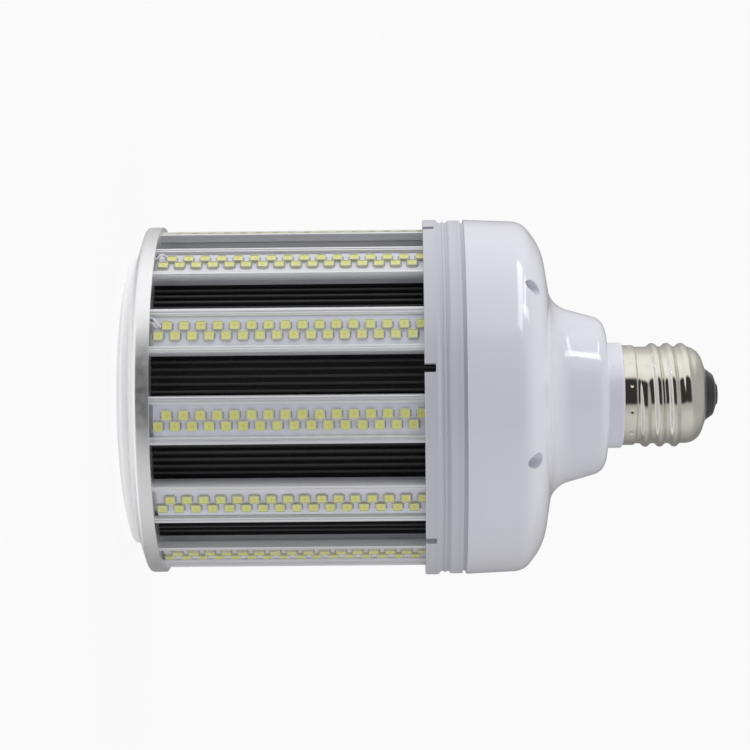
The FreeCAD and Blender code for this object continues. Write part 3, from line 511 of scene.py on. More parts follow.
# The package sides are darker than their frames: partly the body's olive tint, partly painted
# shade.
package_body_painted_shade = mottled(
    "package_body_painted_shade", (330, (0.62, 0.61, 0.38), (0.74, 0.73, 0.50)), (1500, 0.35, 0.5)
)
package_frame = mottled(
    "package_frame", (330, (0.70, 0.70, 0.56), (0.80, 0.80, 0.68)), (1500, 0.35, 0.5)
)
print("board finishes:", board_white.name, package_body_painted_shade.name, package_frame.name)

# %% [markdown]
# ## Phosphor
# The phosphor is darker and more orange over the die in the middle of each window. Its colour
# follows the distance from the middle of the package's own UV map, and a noise shifts it so that
# no two windows are quite the same. Painting each window would say the same with more numbers.

# %% Phosphor
WINDOW_TONES = (
    (0.0, (0.80, 0.69, 0.21)),
    (0.14, (0.82, 0.76, 0.24)),
    (0.28, (0.84, 0.86, 0.28)),
    (0.50, (0.82, 0.90, 0.36)),
)
TONE_SHIFT = 0.15

phosphor = new_finish("phosphor_yellow", Coat_Weight=0.6, Coat_Roughness=0.3)
span_map = add_node(phosphor, "ShaderNodeUVMap", uv_map="span")
from_middle = add_node(phosphor, "ShaderNodeVectorMath", operation="DISTANCE")
from_middle.inputs[1].default_value = (0.5, 0.5, 0)
wobble = add_node(phosphor, "ShaderNodeMath", operation="MULTIPLY_ADD")
wobble.inputs[1].default_value = 2 * TONE_SHIFT
wobble.inputs[2].default_value = -TONE_SHIFT
over_die = add_node(phosphor, "ShaderNodeMath", operation="ADD")
window = add_node(phosphor, "ShaderNodeValToRGB")
window.color_ramp.interpolation = "EASE"
window.color_ramp.elements[1].position = WINDOW_TONES[-1][0]
for place, _ in WINDOW_TONES[1:-1]:
    window.color_ramp.elements.new(place)
for stop, (_, tone) in zip(window.color_ramp.elements, WINDOW_TONES):
    stop.color = (*tone, 1)
connect(phosphor, span_map.outputs["UV"], from_middle.inputs[0])
connect(phosphor, grain(phosphor, 210, detail=1.0), wobble.inputs[0])
connect(phosphor, from_middle.outputs["Value"], over_die.inputs[0])
connect(phosphor, wobble.outputs["Value"], over_die.inputs[1])
connect(phosphor, over_die.outputs["Value"], window.inputs["Fac"])
connect(phosphor, window.outputs["Color"], shader_socket(phosphor, "Base Color"))
vary_roughness(phosphor, grain(phosphor, 2500), 0.22, 0.35)
print("tones in a phosphor window:", len(WINDOW_TONES))

# %% [markdown]
# ## Glass, leads and the parts inside
# The insulator is poured black glass, glossy with slow ripples. The jumper leads are white, and
# the parts inside the bulb have the plain finishes of a driver: green laminate, black mouldings
# and a capacitor sleeve. They can't be seen, so one mottle for each of them is enough.

# %% Glass, leads and the parts inside
black_glass = mottled(
    "black_glass",
    (400, (0.008, 0.008, 0.009), (0.02, 0.02, 0.021)),
    (300, 0.14, 0.3),
    Coat_Weight=0.4,
    Coat_Roughness=0.05,
)
roughen(black_glass, grain(black_glass, 500), 0.02 * MM, 0.3)
wire_white = mottled(
    "lead_white", (500, (0.80, 0.80, 0.80), (0.90, 0.90, 0.90)), (1500, 0.3, 0.45)
)
laminate = mottled(
    "driver_laminate", (900, (0.02, 0.12, 0.05), (0.04, 0.17, 0.07)), (2000, 0.3, 0.5)
)
moulded_black = mottled(
    "moulded_black", (900, (0.018, 0.018, 0.018), (0.035, 0.035, 0.035)), (2500, 0.4, 0.6)
)
roughen(moulded_black, grain(moulded_black, 4000), 0.01 * MM, 0.5)
sleeve = mottled(
    "capacitor_sleeve", (300, (0.012, 0.016, 0.03), (0.02, 0.025, 0.045)), (900, 0.18, 0.3)
)
head_phosphor = mottled(
    "head_phosphor", (190, (0.70, 0.72, 0.20), (0.80, 0.70, 0.20)), (2500, 0.22, 0.35)
)
print("finishes in all:", len(bpy.data.materials))

# %% [markdown]
# ## Opal lens
# The real lens is a moulded cup: a flat middle, a shallow crown that curves back, and a small
# corner where it turns into an upright skirt inside the ring. A squashed sphere would do from
# far away, but here each arc touches the next, as on the mould, so the radius of the crown
# follows from its width and its depth. One spin makes the whole cup.


# %% Opal lens
def arc(middle, radius, start, end, steps):
    """Points along an arc, in metres, between two leans from straight down."""
    leans = [start + (end - start) * k / steps for k in range(steps + 1)]
    x, z = middle
    return [((x + radius * math.sin(a)) * MM, (z - radius * math.cos(a)) * MM) for a in leans]


CROWN_WIDTH = 17.8
CROWN_DEPTH = 3.0
LENS_CORNER = 0.7
LENS_WALL = 1.8
CROWN_STEPS = 24
CORNER_STEPS = 8

lens_rim = LENS_RADIUS / MM
lens_foot = height_range("end_lens")[1]
flat = lens_rim - CROWN_WIDTH
inside = lens_rim - LENS_WALL
across = CROWN_WIDTH - LENS_CORNER
crown = (across**2 + CROWN_DEPTH**2 - LENS_CORNER**2) / (2 * (CROWN_DEPTH - LENS_CORNER))
lean = math.atan2(across, crown - CROWN_DEPTH)
inner_lean = math.asin((inside - flat) / (crown - LENS_WALL))

outside = arc((flat, crown), crown, 0, lean, CROWN_STEPS)
corner_middle = (lens_rim - LENS_CORNER, CROWN_DEPTH)
corner = arc(corner_middle, LENS_CORNER, lean, math.pi / 2, CORNER_STEPS)
skirt = [(lens_rim * MM, lens_foot), (inside * MM, lens_foot)]
underside = arc((flat, crown), crown - LENS_WALL, inner_lean, 0, CROWN_STEPS)
lens_outline = [(0, 0), *outside, *corner[1:], *skirt, *underside, (0, LENS_WALL * MM)]
lens_bm = bmesh.new()
turn_round(lens_bm, lens_outline, 192, closed=True)
keep_piece(lens_bm, "opal_lens", [opal], ["end_lens"])

# %% [markdown]
# ## End ring
# The ring is turned from aluminium, so it is spun here too. Its front slopes back from the lens
# to a rounded outer corner, and its floor closes the core. Its sharp edges are broken by a small
# rounding, which costs a few points in the outline and catches the light as real edges do.

# %% End ring
RING_FRONT_DROP = 2.4
RING_CORNER = 0.9
RING_FLOOR = 1.5
WIRE_HOLE = 4.0
EDGE_BREAK = 0.15

ring_out = RING_RADIUS / MM
ring_front = RING_FRONT / MM
ring_back = RING_BACK / MM
ring_corners = [
    (lens_rim + FIT, ring_front, EDGE_BREAK),
    (ring_out, ring_front + RING_FRONT_DROP, RING_CORNER),
    (ring_out, ring_back, EDGE_BREAK),
    (WIRE_HOLE, ring_back, 0),
    (WIRE_HOLE, ring_back - RING_FLOOR, 0),
    (lens_rim + FIT, ring_back - RING_FLOOR, 0),
]
keep_piece(
    turned(ring_corners), "turned_ring", [turned_metal], ["end_ring"]
)

# %% [markdown]
# ## Strip carriers
# Twelve lengths of one aluminium extrusion hold the boards. The section has a foot that sits on
# the core's rail, a side wall, a rim with a fine groove line, and a lip that traps the board. A
# box with cuts would need six Booleans, so the section is drawn instead and pulled out. Drawing
# half of it and mirroring that keeps the two sides the same.

# %% Strip carriers
STRIP_FACE = 42.1
CARRIER_WIDTH = 11.56
CARRIER_SIDE = 2.2
CARRIER_FOOT = 1.5
FOOT_WIDTH = 10.4
RIM = 0.93
GROOVE = 0.25
GROOVE_DEPTH = 0.3
LIP = 0.85
LIP_DROP = 0.1
LIP_THICK = 0.6
LIP_SLOPE = 0.45
BOARD_WIDTH = 8.6
BOARD_THICK = 1.2

slot_top = STRIP_FACE - LIP_DROP - LIP_THICK
board_base = slot_top - 2 * FIT - BOARD_THICK
board_top = board_base + BOARD_THICK


def carrier_half():
    """Corners on one side of the section, from the foot round to the slot for the board."""
    side = CARRIER_WIDTH / 2
    groove_out = side - RIM
    groove_in = groove_out - GROOVE
    lip_edge = groove_in - LIP
    lip_top = STRIP_FACE - LIP_DROP
    step = STRIP_FACE - CARRIER_SIDE
    slot_side = BOARD_WIDTH / 2 + FIT
    return [
        (step - CARRIER_FOOT, FOOT_WIDTH / 2, 0.1),
        (step, FOOT_WIDTH / 2, 0.1),
        (step, side, 0.2),
        (STRIP_FACE, side, 0.55),
        (STRIP_FACE, groove_out, 0.06),
        (STRIP_FACE - GROOVE_DEPTH, (groove_out + groove_in) / 2, 0),
        (lip_top, groove_in, 0.06),
        (lip_top, lip_edge + LIP_SLOPE, 0.12),
        (slot_top, lip_edge, 0.06),
        (slot_top, slot_side, 0),
        (board_base, slot_side, 0),
    ]


half = carrier_half()
carrier_section = soften(half + [(x, -y, rounding) for x, y, rounding in reversed(half)], 3)
for number, angle in enumerate(STRIP_ANGLES, start=1):
    bar = extruded([carrier_section], RING_BACK, STRIP_END)
    turn_to(bar, angle)
    keep_piece(
        bar,
        f"carrier_{number:02d}",
        [extruded_metal],
        [f"strip_carrier_{number:02d}"],
        sharp=25,
    )

# %% [markdown]
# ## One LED package
# One package is modelled with care and then copied: a body with a pale frame round its top and
# olive sides, partly the body's tint and partly painted shade, a window of phosphor let into the
# frame, and a fillet of solder at each end. A bevel and two insets of a cube give it few faces,
# because there are hundreds of them. Its UV map spans the package, so that the phosphor can be
# darker over the die in the middle of each window.

# %% One LED package
PACKAGE = 2.35
PACKAGE_RISE = 0.75
WINDOW_INSET = 0.2
WINDOW_DEPTH = 0.15
WINDOW_DRAFT = 0.06
PACKAGE_EDGE = 0.08
SOLDER_LENGTH = 0.32
SOLDER_WIDTH = 1.5
SOLDER_RISE = 0.28
SOLDER_TOE = 0.05
# A package's finishes, and their places in that list.
PACKAGE_FINISHES = [package_body_painted_shade, phosphor, solder, package_frame]
WINDOW_PART, SOLDER_PART, FRAME_PART = 1, 2, 3


def box_bm(x, y, z):
    """A box round the origin, with its sides in millimetres."""
    bm = bmesh.new()
    bmesh.ops.create_cube(bm, size=1)
    size = Matrix.Diagonal((x * MM, y * MM, z * MM, 1))
    bmesh.ops.transform(bm, matrix=size, verts=bm.verts)
    return bm


def solder_wedge(side):
    """A fillet of solder against one end of a package, which lies along Z."""
    bm = box_bm(SOLDER_RISE, SOLDER_WIDTH, SOLDER_LENGTH)
    reach = (PACKAGE + SOLDER_LENGTH) / 2 * side
    bmesh.ops.translate(bm, verts=bm.verts, vec=(SOLDER_RISE / 2 * MM, 0, reach * MM))
    for vert in bm.verts:
        if vert.co.x > 0 and vert.co.z * side > PACKAGE / 2 * MM + WELD:
            vert.co.x = SOLDER_TOE * MM
    for face in bm.faces:
        face.material_index = SOLDER_PART
    return bm


def one_package():
    """A package on the board at x = 0, facing +X. Its body, olive with painted shade, is the first
    finish.
    """
    bm = box_bm(PACKAGE_RISE, PACKAGE, PACKAGE)
    bmesh.ops.translate(bm, verts=bm.verts, vec=(PACKAGE_RISE / 2 * MM, 0, 0))
    foot = [edge for edge in bm.edges if all(vert.co.x < WELD for vert in edge.verts)]
    upper = [edge for edge in bm.edges if edge not in foot]
    bmesh.ops.bevel(
        bm,
        geom=upper,
        offset=PACKAGE_EDGE * MM,
        segments=1,
        profile=0.5,
        affect="EDGES",
        material=-1,
    )
    top = max(bm.faces, key=lambda face: face.calc_center_median().x)
    frame_width = (WINDOW_INSET - PACKAGE_EDGE) * MM
    around = bmesh.ops.inset_individual(bm, faces=[top], thickness=frame_width, depth=0)
    for face in around["faces"]:
        face.material_index = FRAME_PART
    bmesh.ops.inset_individual(
        bm, faces=[top], thickness=WINDOW_DRAFT * MM, depth=-WINDOW_DEPTH * MM
    )
    top.material_index = WINDOW_PART
    span = bm.loops.layers.uv.new("span")
    for face in bm.faces:
        for loop in face.loops:
            y, z = loop.vert.co.yz / (PACKAGE * MM)
            loop[span].uv = (y + 0.5, z + 0.5)
    return bm


package_bm = joined([one_package(), solder_wedge(-1), solder_wedge(1)])
package_mesh = bpy.data.meshes.new("package")
package_bm.to_mesh(package_mesh)
package_bm.free()
print("faces in one package:", len(package_mesh.polygons))

# %% [markdown]
# ## Rows of packages
# Each strip carries two rows of packages, the second row half a pitch further along. An array
# modifier could repeat them, but a loop puts every copy in one mesh, which then turns to the
# strip's angle. The first package of the lower row starts nearest the ring.

# %% LED packages on the strips
CHIP_PITCH = 4.03
CHIP_FIRST = 2.0
ROW_SPACING = 2.66
CHIPS_IN_ROW = 16


def strip_packages():
    """All the packages of one strip, for a strip that faces +X."""
    bm = bmesh.new()
    for across_board, start in ((ROW_SPACING / 2, 0), (-ROW_SPACING / 2, CHIP_PITCH / 2)):
        for number in range(CHIPS_IN_ROW):
            already = len(bm.verts)
            bm.from_mesh(package_mesh)
            bm.verts.ensure_lookup_table()
            along = RING_BACK + (CHIP_FIRST + start + number * CHIP_PITCH) * MM
            spot = (board_top * MM, across_board * MM, along)
            bmesh.ops.translate(bm, verts=bm.verts[already:], vec=spot)
    return bm


for number, angle in enumerate(STRIP_ANGLES, start=1):
    rows_bm = strip_packages()
    turn_to(rows_bm, angle)
    keep_piece(
        rows_bm,
        f"packages_{number:02d}",
        PACKAGE_FINISHES,
        [f"led_chips_{number:02d}"],
        sharp=20,
    )

# %% [markdown]
# ## Heat sink core
# The core shows in the channels between the strips as a black wall with five low ribs. It is an
# extrusion, so one outline holds a rail and a channel of ribs for each strip, and a second one
# is the bore. Ribs added to a tube would leave edges inside it. The rib tips are rounded,
# because their highlights are the soft lines that the photograph shows.

# %% Heat sink core
RAIL_RISE = 1.5
RAIL_WIDTH = 9.0
CORE_WALL = 2.2
RIB_RISE = 1.3
RIB_THICK = 0.8
RIB_PITCH = 1.8
RIB_TIP_SHARE = 0.42
RIBS = 5
BORE_SIDES = 96

rail_top = STRIP_FACE - CARRIER_SIDE - CARRIER_FOOT
core_root = rail_top - RAIL_RISE


def root_corner(across_line, rounding):
    """A corner where an upright wall meets the core's round root."""
    return math.sqrt(core_root**2 - across_line**2), across_line, rounding


def rib_corners(middle):
    """One rib of a channel that faces +X, with its middle this far across."""
    low, high = middle - RIB_THICK / 2, middle + RIB_THICK / 2
    tip = core_root + RIB_RISE
    round_tip = RIB_THICK * RIB_TIP_SHARE
    return [
        root_corner(low, 0.15),
        (tip, low, round_tip),
        (tip, high, round_tip),
        root_corner(high, 0.15),
    ]


def turned_corners(corners, angle):
    """The same corners, turned about the bulb's axis."""
    cos, sin = math.cos(angle), math.sin(angle)
    return [(x * cos - y * sin, x * sin + y * cos, rounding) for x, y, rounding in corners]


half_rail = RAIL_WIDTH / 2
rail = [
    root_corner(-half_rail, 0.2),
    (rail_top, -half_rail, 0.2),
    (rail_top, half_rail, 0.2),
    root_corner(half_rail, 0.2),
]
core_outline = []
for angle in STRIP_ANGLES:
    core_outline += turned_corners(rail, angle)
    channel = angle + math.pi / STRIPS
    for rib in range(RIBS):
        middle = (rib - (RIBS - 1) / 2) * RIB_PITCH
        core_outline += turned_corners(rib_corners(middle), channel)
core_bore = [
    Vector(on_circle((core_root - CORE_WALL) * MM, 2 * math.pi * k / BORE_SIDES))
    for k in range(BORE_SIDES)
]
core_bm = extruded([soften(core_outline, 3), core_bore], RING_BACK, STRIP_END)
keep_piece(core_bm, "ribbed_core", [anodised], ["heat_sink_core"], sharp=30)

# %% [markdown]
# ## Collar
# A white ring closes the strips' far ends. Its outer face drops into a groove where it meets the
# tray, and six notches are cut into its open edge. An outline can't hold a notch, so the ring is
# spun first and the notches are cut with a tool whose corners are rounded as a moulding's are.

# %% Collar ring
COLLAR_LIP = 1.8
COLLAR_LIP_HEIGHT = 2.8
COLLAR_STRAIGHT = 3.1
COLLAR_OPENING = 27.2
GROOVE_INSET = 0.8
GROOVE_FLOOR = 0.4
NOTCHES = 6
NOTCH_FIRST = -8.9
NOTCH_WIDTH = 2.1
NOTCH_HEIGHT = 2.7
NOTCH_CORNER = 0.25
# How far inside the collar's outer face the notch tool starts, and how long it is.
TOOL_START = 1.6 * COLLAR_LIP
TOOL_LENGTH = 2.5 * COLLAR_LIP

collar_out = COLLAR_RADIUS / MM
collar_face = COLLAR_FACE / MM
tray_face = TRAY_FACE / MM
groove_radius = collar_out - GROOVE_INSET
collar_corners = [
    (collar_out - COLLAR_LIP, collar_face, 0.2),
    (collar_out, collar_face, 0.35),
    (collar_out, collar_face + COLLAR_STRAIGHT, 0.3),
    (groove_radius, tray_face - GROOVE_FLOOR, 0.12),
    (groove_radius, tray_face, 0),
    (COLLAR_OPENING, tray_face, 0),
    (COLLAR_OPENING, collar_face + COLLAR_LIP_HEIGHT, 0),
    (collar_out - COLLAR_LIP, collar_face + COLLAR_LIP_HEIGHT, 0),
]


def notch_tool(angle):
    """A bar with a rounded end that cuts one notch from the collar's open edge."""
    half_width = NOTCH_WIDTH / 2
    outline = [
        (-half_width, -OVERSHOOT, 0),
        (half_width, -OVERSHOOT, 0),
        (half_width, NOTCH_HEIGHT, NOTCH_CORNER),
        (-half_width, NOTCH_HEIGHT, NOTCH_CORNER),
    ]
    bm = extruded([soften(outline, 4)], 0, TOOL_LENGTH * MM)
    lay_flat = Matrix(((0, 0, 1), (1, 0, 0), (0, 1, 0)))
    bmesh.ops.rotate(bm, verts=bm.verts, matrix=lay_flat)
    start = (collar_out - TOOL_START) * MM
    bmesh.ops.translate(bm, verts=bm.verts, vec=(start, 0, COLLAR_FACE))
    turn_to(bm, angle)
    return bm


notch_angles = [
    NEAR_SIDE + math.radians(NOTCH_FIRST + 360 * k / NOTCHES) for k in range(NOTCHES)
]
notch_tools = joined([notch_tool(angle) for angle in notch_angles])
collar_bm = cut_away(turned(collar_corners), notch_tools)
keep_piece(collar_bm, "collar", [satin_plastic], ["collar_ring"], sharp=30)

# %% [markdown]
# ## Driver tray
# The second white ring closes the driver housing. From the side it shows a bead, a groove, a
# wide plain band and a seam under the housing's rim. Each of these is only a step in the
# outline, so one spin makes them all, and the shadow in the seam is a real one.

# %% Driver tray
TRAY_INSET = 0.2
TRAY_SLOPE = 0.5
BEAD_OFFSET = 0.2
BEAD_WIDTH = 0.7
BEAD_RISE = 0.3
BEAD_SLOPE = 0.15
BEAD_GROOVE = 0.5
SEAM_WIDTH = 0.9
SEAM_DEPTH = 0.7
TRAY_FLOOR = 2.2
TRAY_WALL = 2.4
TRAY_HOLE = 5.0

tray_out = collar_out - TRAY_INSET
housing_rim = HOUSING_RIM / MM
bead = tray_face + BEAD_OFFSET
bead_end = bead + BEAD_WIDTH
tray_slope = bead_end + BEAD_GROOVE
seam = housing_rim - SEAM_WIDTH
tray_corners = [
    (TRAY_HOLE, tray_face, 0),
    (groove_radius, tray_face, 0),
    (groove_radius, bead, 0.05),
    (groove_radius + BEAD_RISE, bead + BEAD_SLOPE, 0.1),
    (groove_radius + BEAD_RISE, bead_end - BEAD_SLOPE, 0.1),
    (groove_radius, bead_end, 0.05),
    (groove_radius, tray_slope, 0.1),
    (tray_out, tray_slope + TRAY_SLOPE, 0.2),
    (tray_out, seam, 0.15),
    (tray_out - SEAM_DEPTH, seam, 0.1),
    (tray_out - SEAM_DEPTH, housing_rim, 0),
    (tray_out - TRAY_WALL, housing_rim, 0),
    (tray_out - TRAY_WALL, tray_face + TRAY_FLOOR, 0),
    (TRAY_HOLE, tray_face + TRAY_FLOOR, 0),
]
keep_piece(turned(tray_corners), "tray", [satin_plastic], ["driver_tray"])

# %% [markdown]
# ## Driver housing
# The housing is one moulded shell: a straight wall, a round shoulder, a short neck that tapers
# to the cap, and six deep screw recesses in the shoulder. Sculpting it would lose its round
# section, so the outside is spun. The cavity is taken out of it round the screw columns, and
# the recesses are drilled last.

# %% Driver housing
HOUSING_INSET = 0.05
HOUSING_WALL = 2.2
# Each corner's rise above the one before, its place across, and its rounding. The shoulder and
# the crown are measured in from the wall, the neck's foot out from the neck.
SHOULDER_RISE, SHOULDER_INSET, SHOULDER_ROUNDING = 14.6, 0.65, 5.4
CROWN_RISE, CROWN_INSET, CROWN_ROUNDING = 4.8, 6.9, 15.5
FOOT_RISE, FOOT_SPREAD, FOOT_ROUNDING = 2.4, 3.85, 6.9
NECK_RISE, NECK_RADIUS, NECK_ROUNDING = 13.7, 19.1, 4.0
SPIGOT_RADIUS, SPIGOT_ROUNDING = 13.3, 0.6
TENON_RADIUS = 12.15
TENON_RISE = 2.85
NECK_BORE = 9.5
HOUSING_SCREWS = 6
SCREW_FIRST = 21.5
SCREW_INSET = 2.95
COLUMN_RADIUS = 3.2
RECESS_RADIUS = 1.9
RECESS_FLOOR = 7.1
SCREW_RADIUS = 1.2

housing_out = collar_out - HOUSING_INSET
shoulder_height = housing_rim + SHOULDER_RISE
crown_height = shoulder_height + CROWN_RISE
foot_height = crown_height + FOOT_RISE
neck_end = foot_height + NECK_RISE
shell_rim = SHELL_RIM / MM


def housing_side(inset):
    """The four rounded corners of the housing, for a surface inset from the outside."""
    return [
        (housing_out - SHOULDER_INSET - inset, shoulder_height - inset, SHOULDER_ROUNDING),
        (housing_out - CROWN_INSET - inset, crown_height - inset, CROWN_ROUNDING - inset),
        (NECK_RADIUS + FOOT_SPREAD - inset, foot_height - inset, FOOT_ROUNDING + inset),
        (NECK_RADIUS - inset, neck_end - inset, NECK_ROUNDING - inset / 2),
    ]


tenon_end = shell_rim + TENON_RISE
outside_corners = [
    (NECK_BORE, housing_rim, 0),
    (housing_out, housing_rim, 0.3),
    *housing_side(0),
    (SPIGOT_RADIUS, neck_end, 0.25),
    (SPIGOT_RADIUS, shell_rim, SPIGOT_ROUNDING),
    (TENON_RADIUS, shell_rim, 0),
    (TENON_RADIUS, tenon_end, 0),
    (NECK_BORE, tenon_end, 0),
]
cavity_corners = [
    (NECK_BORE - OVERSHOOT, housing_rim - OVERSHOOT, 0),
    (housing_out - HOUSING_WALL, housing_rim - OVERSHOOT, 0),
    *housing_side(HOUSING_WALL),
    (NECK_BORE - OVERSHOOT, neck_end - HOUSING_WALL, 0),
]
screw_circle = (housing_out - SCREW_INSET) * MM
screw_angles = [
    NEAR_SIDE + math.radians(SCREW_FIRST + 360 * k / HOUSING_SCREWS) for k in range(HOUSING_SCREWS)
]
screw_spots = [on_circle(screw_circle, angle) for angle in screw_angles]


# %% Screw columns and recesses
def bars_at_screws(radius, low, high, sides):
    """A bar at each housing screw, in millimetres."""
    bars = [upright_bar(radius * MM, low * MM, high * MM, spot, sides) for spot in screw_spots]
    return joined(bars)


recess_floor = housing_rim + RECESS_FLOOR
columns = bars_at_screws(COLUMN_RADIUS, housing_rim - 2 * OVERSHOOT, neck_end, 24)
recesses = bars_at_screws(RECESS_RADIUS, recess_floor, neck_end, 40)
screw_holes = bars_at_screws(
    SCREW_RADIUS + FIT, housing_rim - OVERSHOOT, recess_floor + OVERSHOOT, 20
)
cavity_bm = cut_away(turned(cavity_corners, steps=96, arc_steps=6), columns)
housing_bm = turned(outside_corners, arc_steps=12)
for tool in (cavity_bm, recesses, screw_holes):
    housing_bm = cut_away(housing_bm, tool)
print("housing faces after cutting:", len(housing_bm.faces))

# %% [markdown]
# ## Recess mouths
# The recess mouths are bevelled, because the photograph shows them soft. A bevel of every sharp
# edge would also change the rim and the seams, so only the edges at a mouth are picked: both of
# their ends lie on a recess's wall, away from its floor, and their faces meet at an angle.

# %% Soft mouths for the recesses
MOUTH_ROUNDING = 0.4
MOUTH_ANGLE = math.radians(25)
MOUTH_ABOVE_FLOOR = 1.0
ON_WALL = 0.01


def at_mouth(vert):
    """Whether a vertex lies on a recess's wall, well above its floor."""
    if vert.co.z < (recess_floor + MOUTH_ABOVE_FLOOR) * MM:
        return False
    from_axes = [math.hypot(vert.co.x - x, vert.co.y - y) for x, y in screw_spots]
    return min(abs(far - RECESS_RADIUS * MM) for far in from_axes) < ON_WALL * MM


tidy(housing_bm)
mouth_edges = []
for edge in housing_bm.edges:
    if len(edge.link_faces) == 2 and all(at_mouth(vert) for vert in edge.verts):
        if edge.calc_face_angle() > MOUTH_ANGLE:
            mouth_edges.append(edge)
print("recess mouth edges:", len(mouth_edges))
bmesh.ops.bevel(
    housing_bm,
    geom=mouth_edges,
    offset=MOUTH_ROUNDING * MM,
    segments=3,
    profile=0.5,
    affect="EDGES",
    material=-1,
    clamp_overlap=True,
)

# %% Housing
housing_finishes = [glossy_plastic, spigot_plastic]
for face in housing_bm.faces:
    if face.calc_center_median().z > neck_end * MM:
        face.material_index = housing_finishes.index(spigot_plastic)
housing = keep_piece(
    housing_bm, "housing", housing_finishes, ["driver_housing"], sharp=32
)

# %% [markdown]
# ## Housing screws
# A self-tapping screw stands at the bottom of each recess. Its thread is buried, so a plain
# shank will do, and its head is a low round disc with a cross recess, cut out of it with two
# thin bars. One screw is made and copied, which is quicker than cutting six.

# %% Housing screws
SCREW_HEAD = 1.7
SCREW_HEAD_RISE = 1.4
CROSS_WIDTH = 0.45
CROSS_LENGTH = 2.0
CROSS_DEPTH = 0.8
SCREW_BITE = 3.2


def screw_at_origin():
    """A screw on the axis, with its head seated at height 0."""
    length = RECESS_FLOOR + SCREW_BITE
    outline = [
        (0, -length, 0),
        (SCREW_RADIUS, -length, 0.3),
        (SCREW_RADIUS, 0, 0),
        (SCREW_HEAD, 0, 0.1),
        (SCREW_HEAD, SCREW_HEAD_RISE, 0.4),
        (0, SCREW_HEAD_RISE, 0),
    ]
    bm = turned(outline, steps=32, arc_steps=3, closed=False)
    for wide, deep in ((CROSS_WIDTH, CROSS_LENGTH), (CROSS_LENGTH, CROSS_WIDTH)):
        bar = box_bm(wide, deep, 2 * CROSS_DEPTH)
        bmesh.ops.translate(bar, verts=bar.verts, vec=(0, 0, SCREW_HEAD_RISE * MM))
        bm = cut_away(bm, bar)
    return bm


screw_bm = screw_at_origin()
screw_copies = []
for x, y in screw_spots:
    copy = screw_bm.copy()
    bmesh.ops.translate(copy, verts=copy.verts, vec=(x, y, recess_floor * MM))
    screw_copies.append(copy)
screw_bm.free()
keep_piece(
    joined(screw_copies), "recess_screws", [zinc], ["housing_screws"], sharp=30
)

# %% [markdown]
# ## Screw shell
# The thread is rolled into a thin nickel cup. A section swept along a helix would leave a
# seam and a blunt end, so the cup is spun plain, with close rows, and then each point of its
# outside is pushed out by the height of the thread there. The crest climbs one pitch for each
# turn, and its height fades at both ends, as a rolled thread runs out. Its section is two equal
# arcs for each pitch, one over the crest and one along the root.

# %% Thread and dimples
BAND_RADIUS = 12.6
BAND_HEIGHT = 2.9
ROOT_RADIUS = 12.2
CREST_RISE = 0.9
HALF_ARC = 0.907
THREAD_PITCH = 3.629
THREAD_START = 4.42
THREAD_START_ANGLE = math.radians(-150)
THREAD_RISE = 12.2
RUN_IN = 0.3
RUN_OUT = 0.5
DIMPLES = 12
DIMPLE_HEIGHT = 1.75
DIMPLE_RADIUS = 0.62
DIMPLE_DEPTH = 0.3
DIMPLE_FIRST = math.radians(-11)

arc_radius = (HALF_ARC**2 + (CREST_RISE / 2) ** 2) / CREST_RISE
crest_start = shell_rim + THREAD_START
thread_turns = THREAD_RISE / THREAD_PITCH


def fade(share):
    """Rises smoothly from 0 to 1."""
    share = min(max(share, 0), 1)
    return share * share * (3 - 2 * share)


def thread_height(angle, height):
    """How far the thread stands above its root here, in millimetres."""
    turn = ((angle - THREAD_START_ANGLE) / (2 * math.pi)) % 1
    climbed = (height - crest_start) / THREAD_PITCH
    crest = turn + round(climbed - turn)
    strength = fade(crest / RUN_IN) * fade((thread_turns - crest) / RUN_OUT)
    apart = abs(climbed - crest) * THREAD_PITCH
    if apart < HALF_ARC:
        return strength * (CREST_RISE - arc_radius + math.sqrt(arc_radius**2 - apart**2))
    to_root = max(2 * HALF_ARC - apart, 0)
    return strength * (arc_radius - math.sqrt(arc_radius**2 - to_root**2))


def dimple_depth(angle, height):
    """How far a punched dimple goes in here, in millimetres."""
    apart = 2 * math.pi / DIMPLES
    turn = (angle - NEAR_SIDE - DIMPLE_FIRST + apart / 2) % apart - apart / 2
    distance = math.hypot(turn * BAND_RADIUS, height - shell_rim - DIMPLE_HEIGHT)
    return DIMPLE_DEPTH * fade(1 - distance / DIMPLE_RADIUS)


print(f"turns of thread: {thread_turns:.2f}")

# %% Screw shell
SHELL_WALL = 0.4
SHELL_CORNER = 5.3
END_FALL = 2.0
END_ROUNDING = 4.4
MOUTH_RADIUS = 6.7
ROW = 0.22
SHELL_STEPS = 256
# How near to a surface's radius a point counts as being on it, in millimetres.
ON_ROOT = 0.35
ON_BAND = 0.01

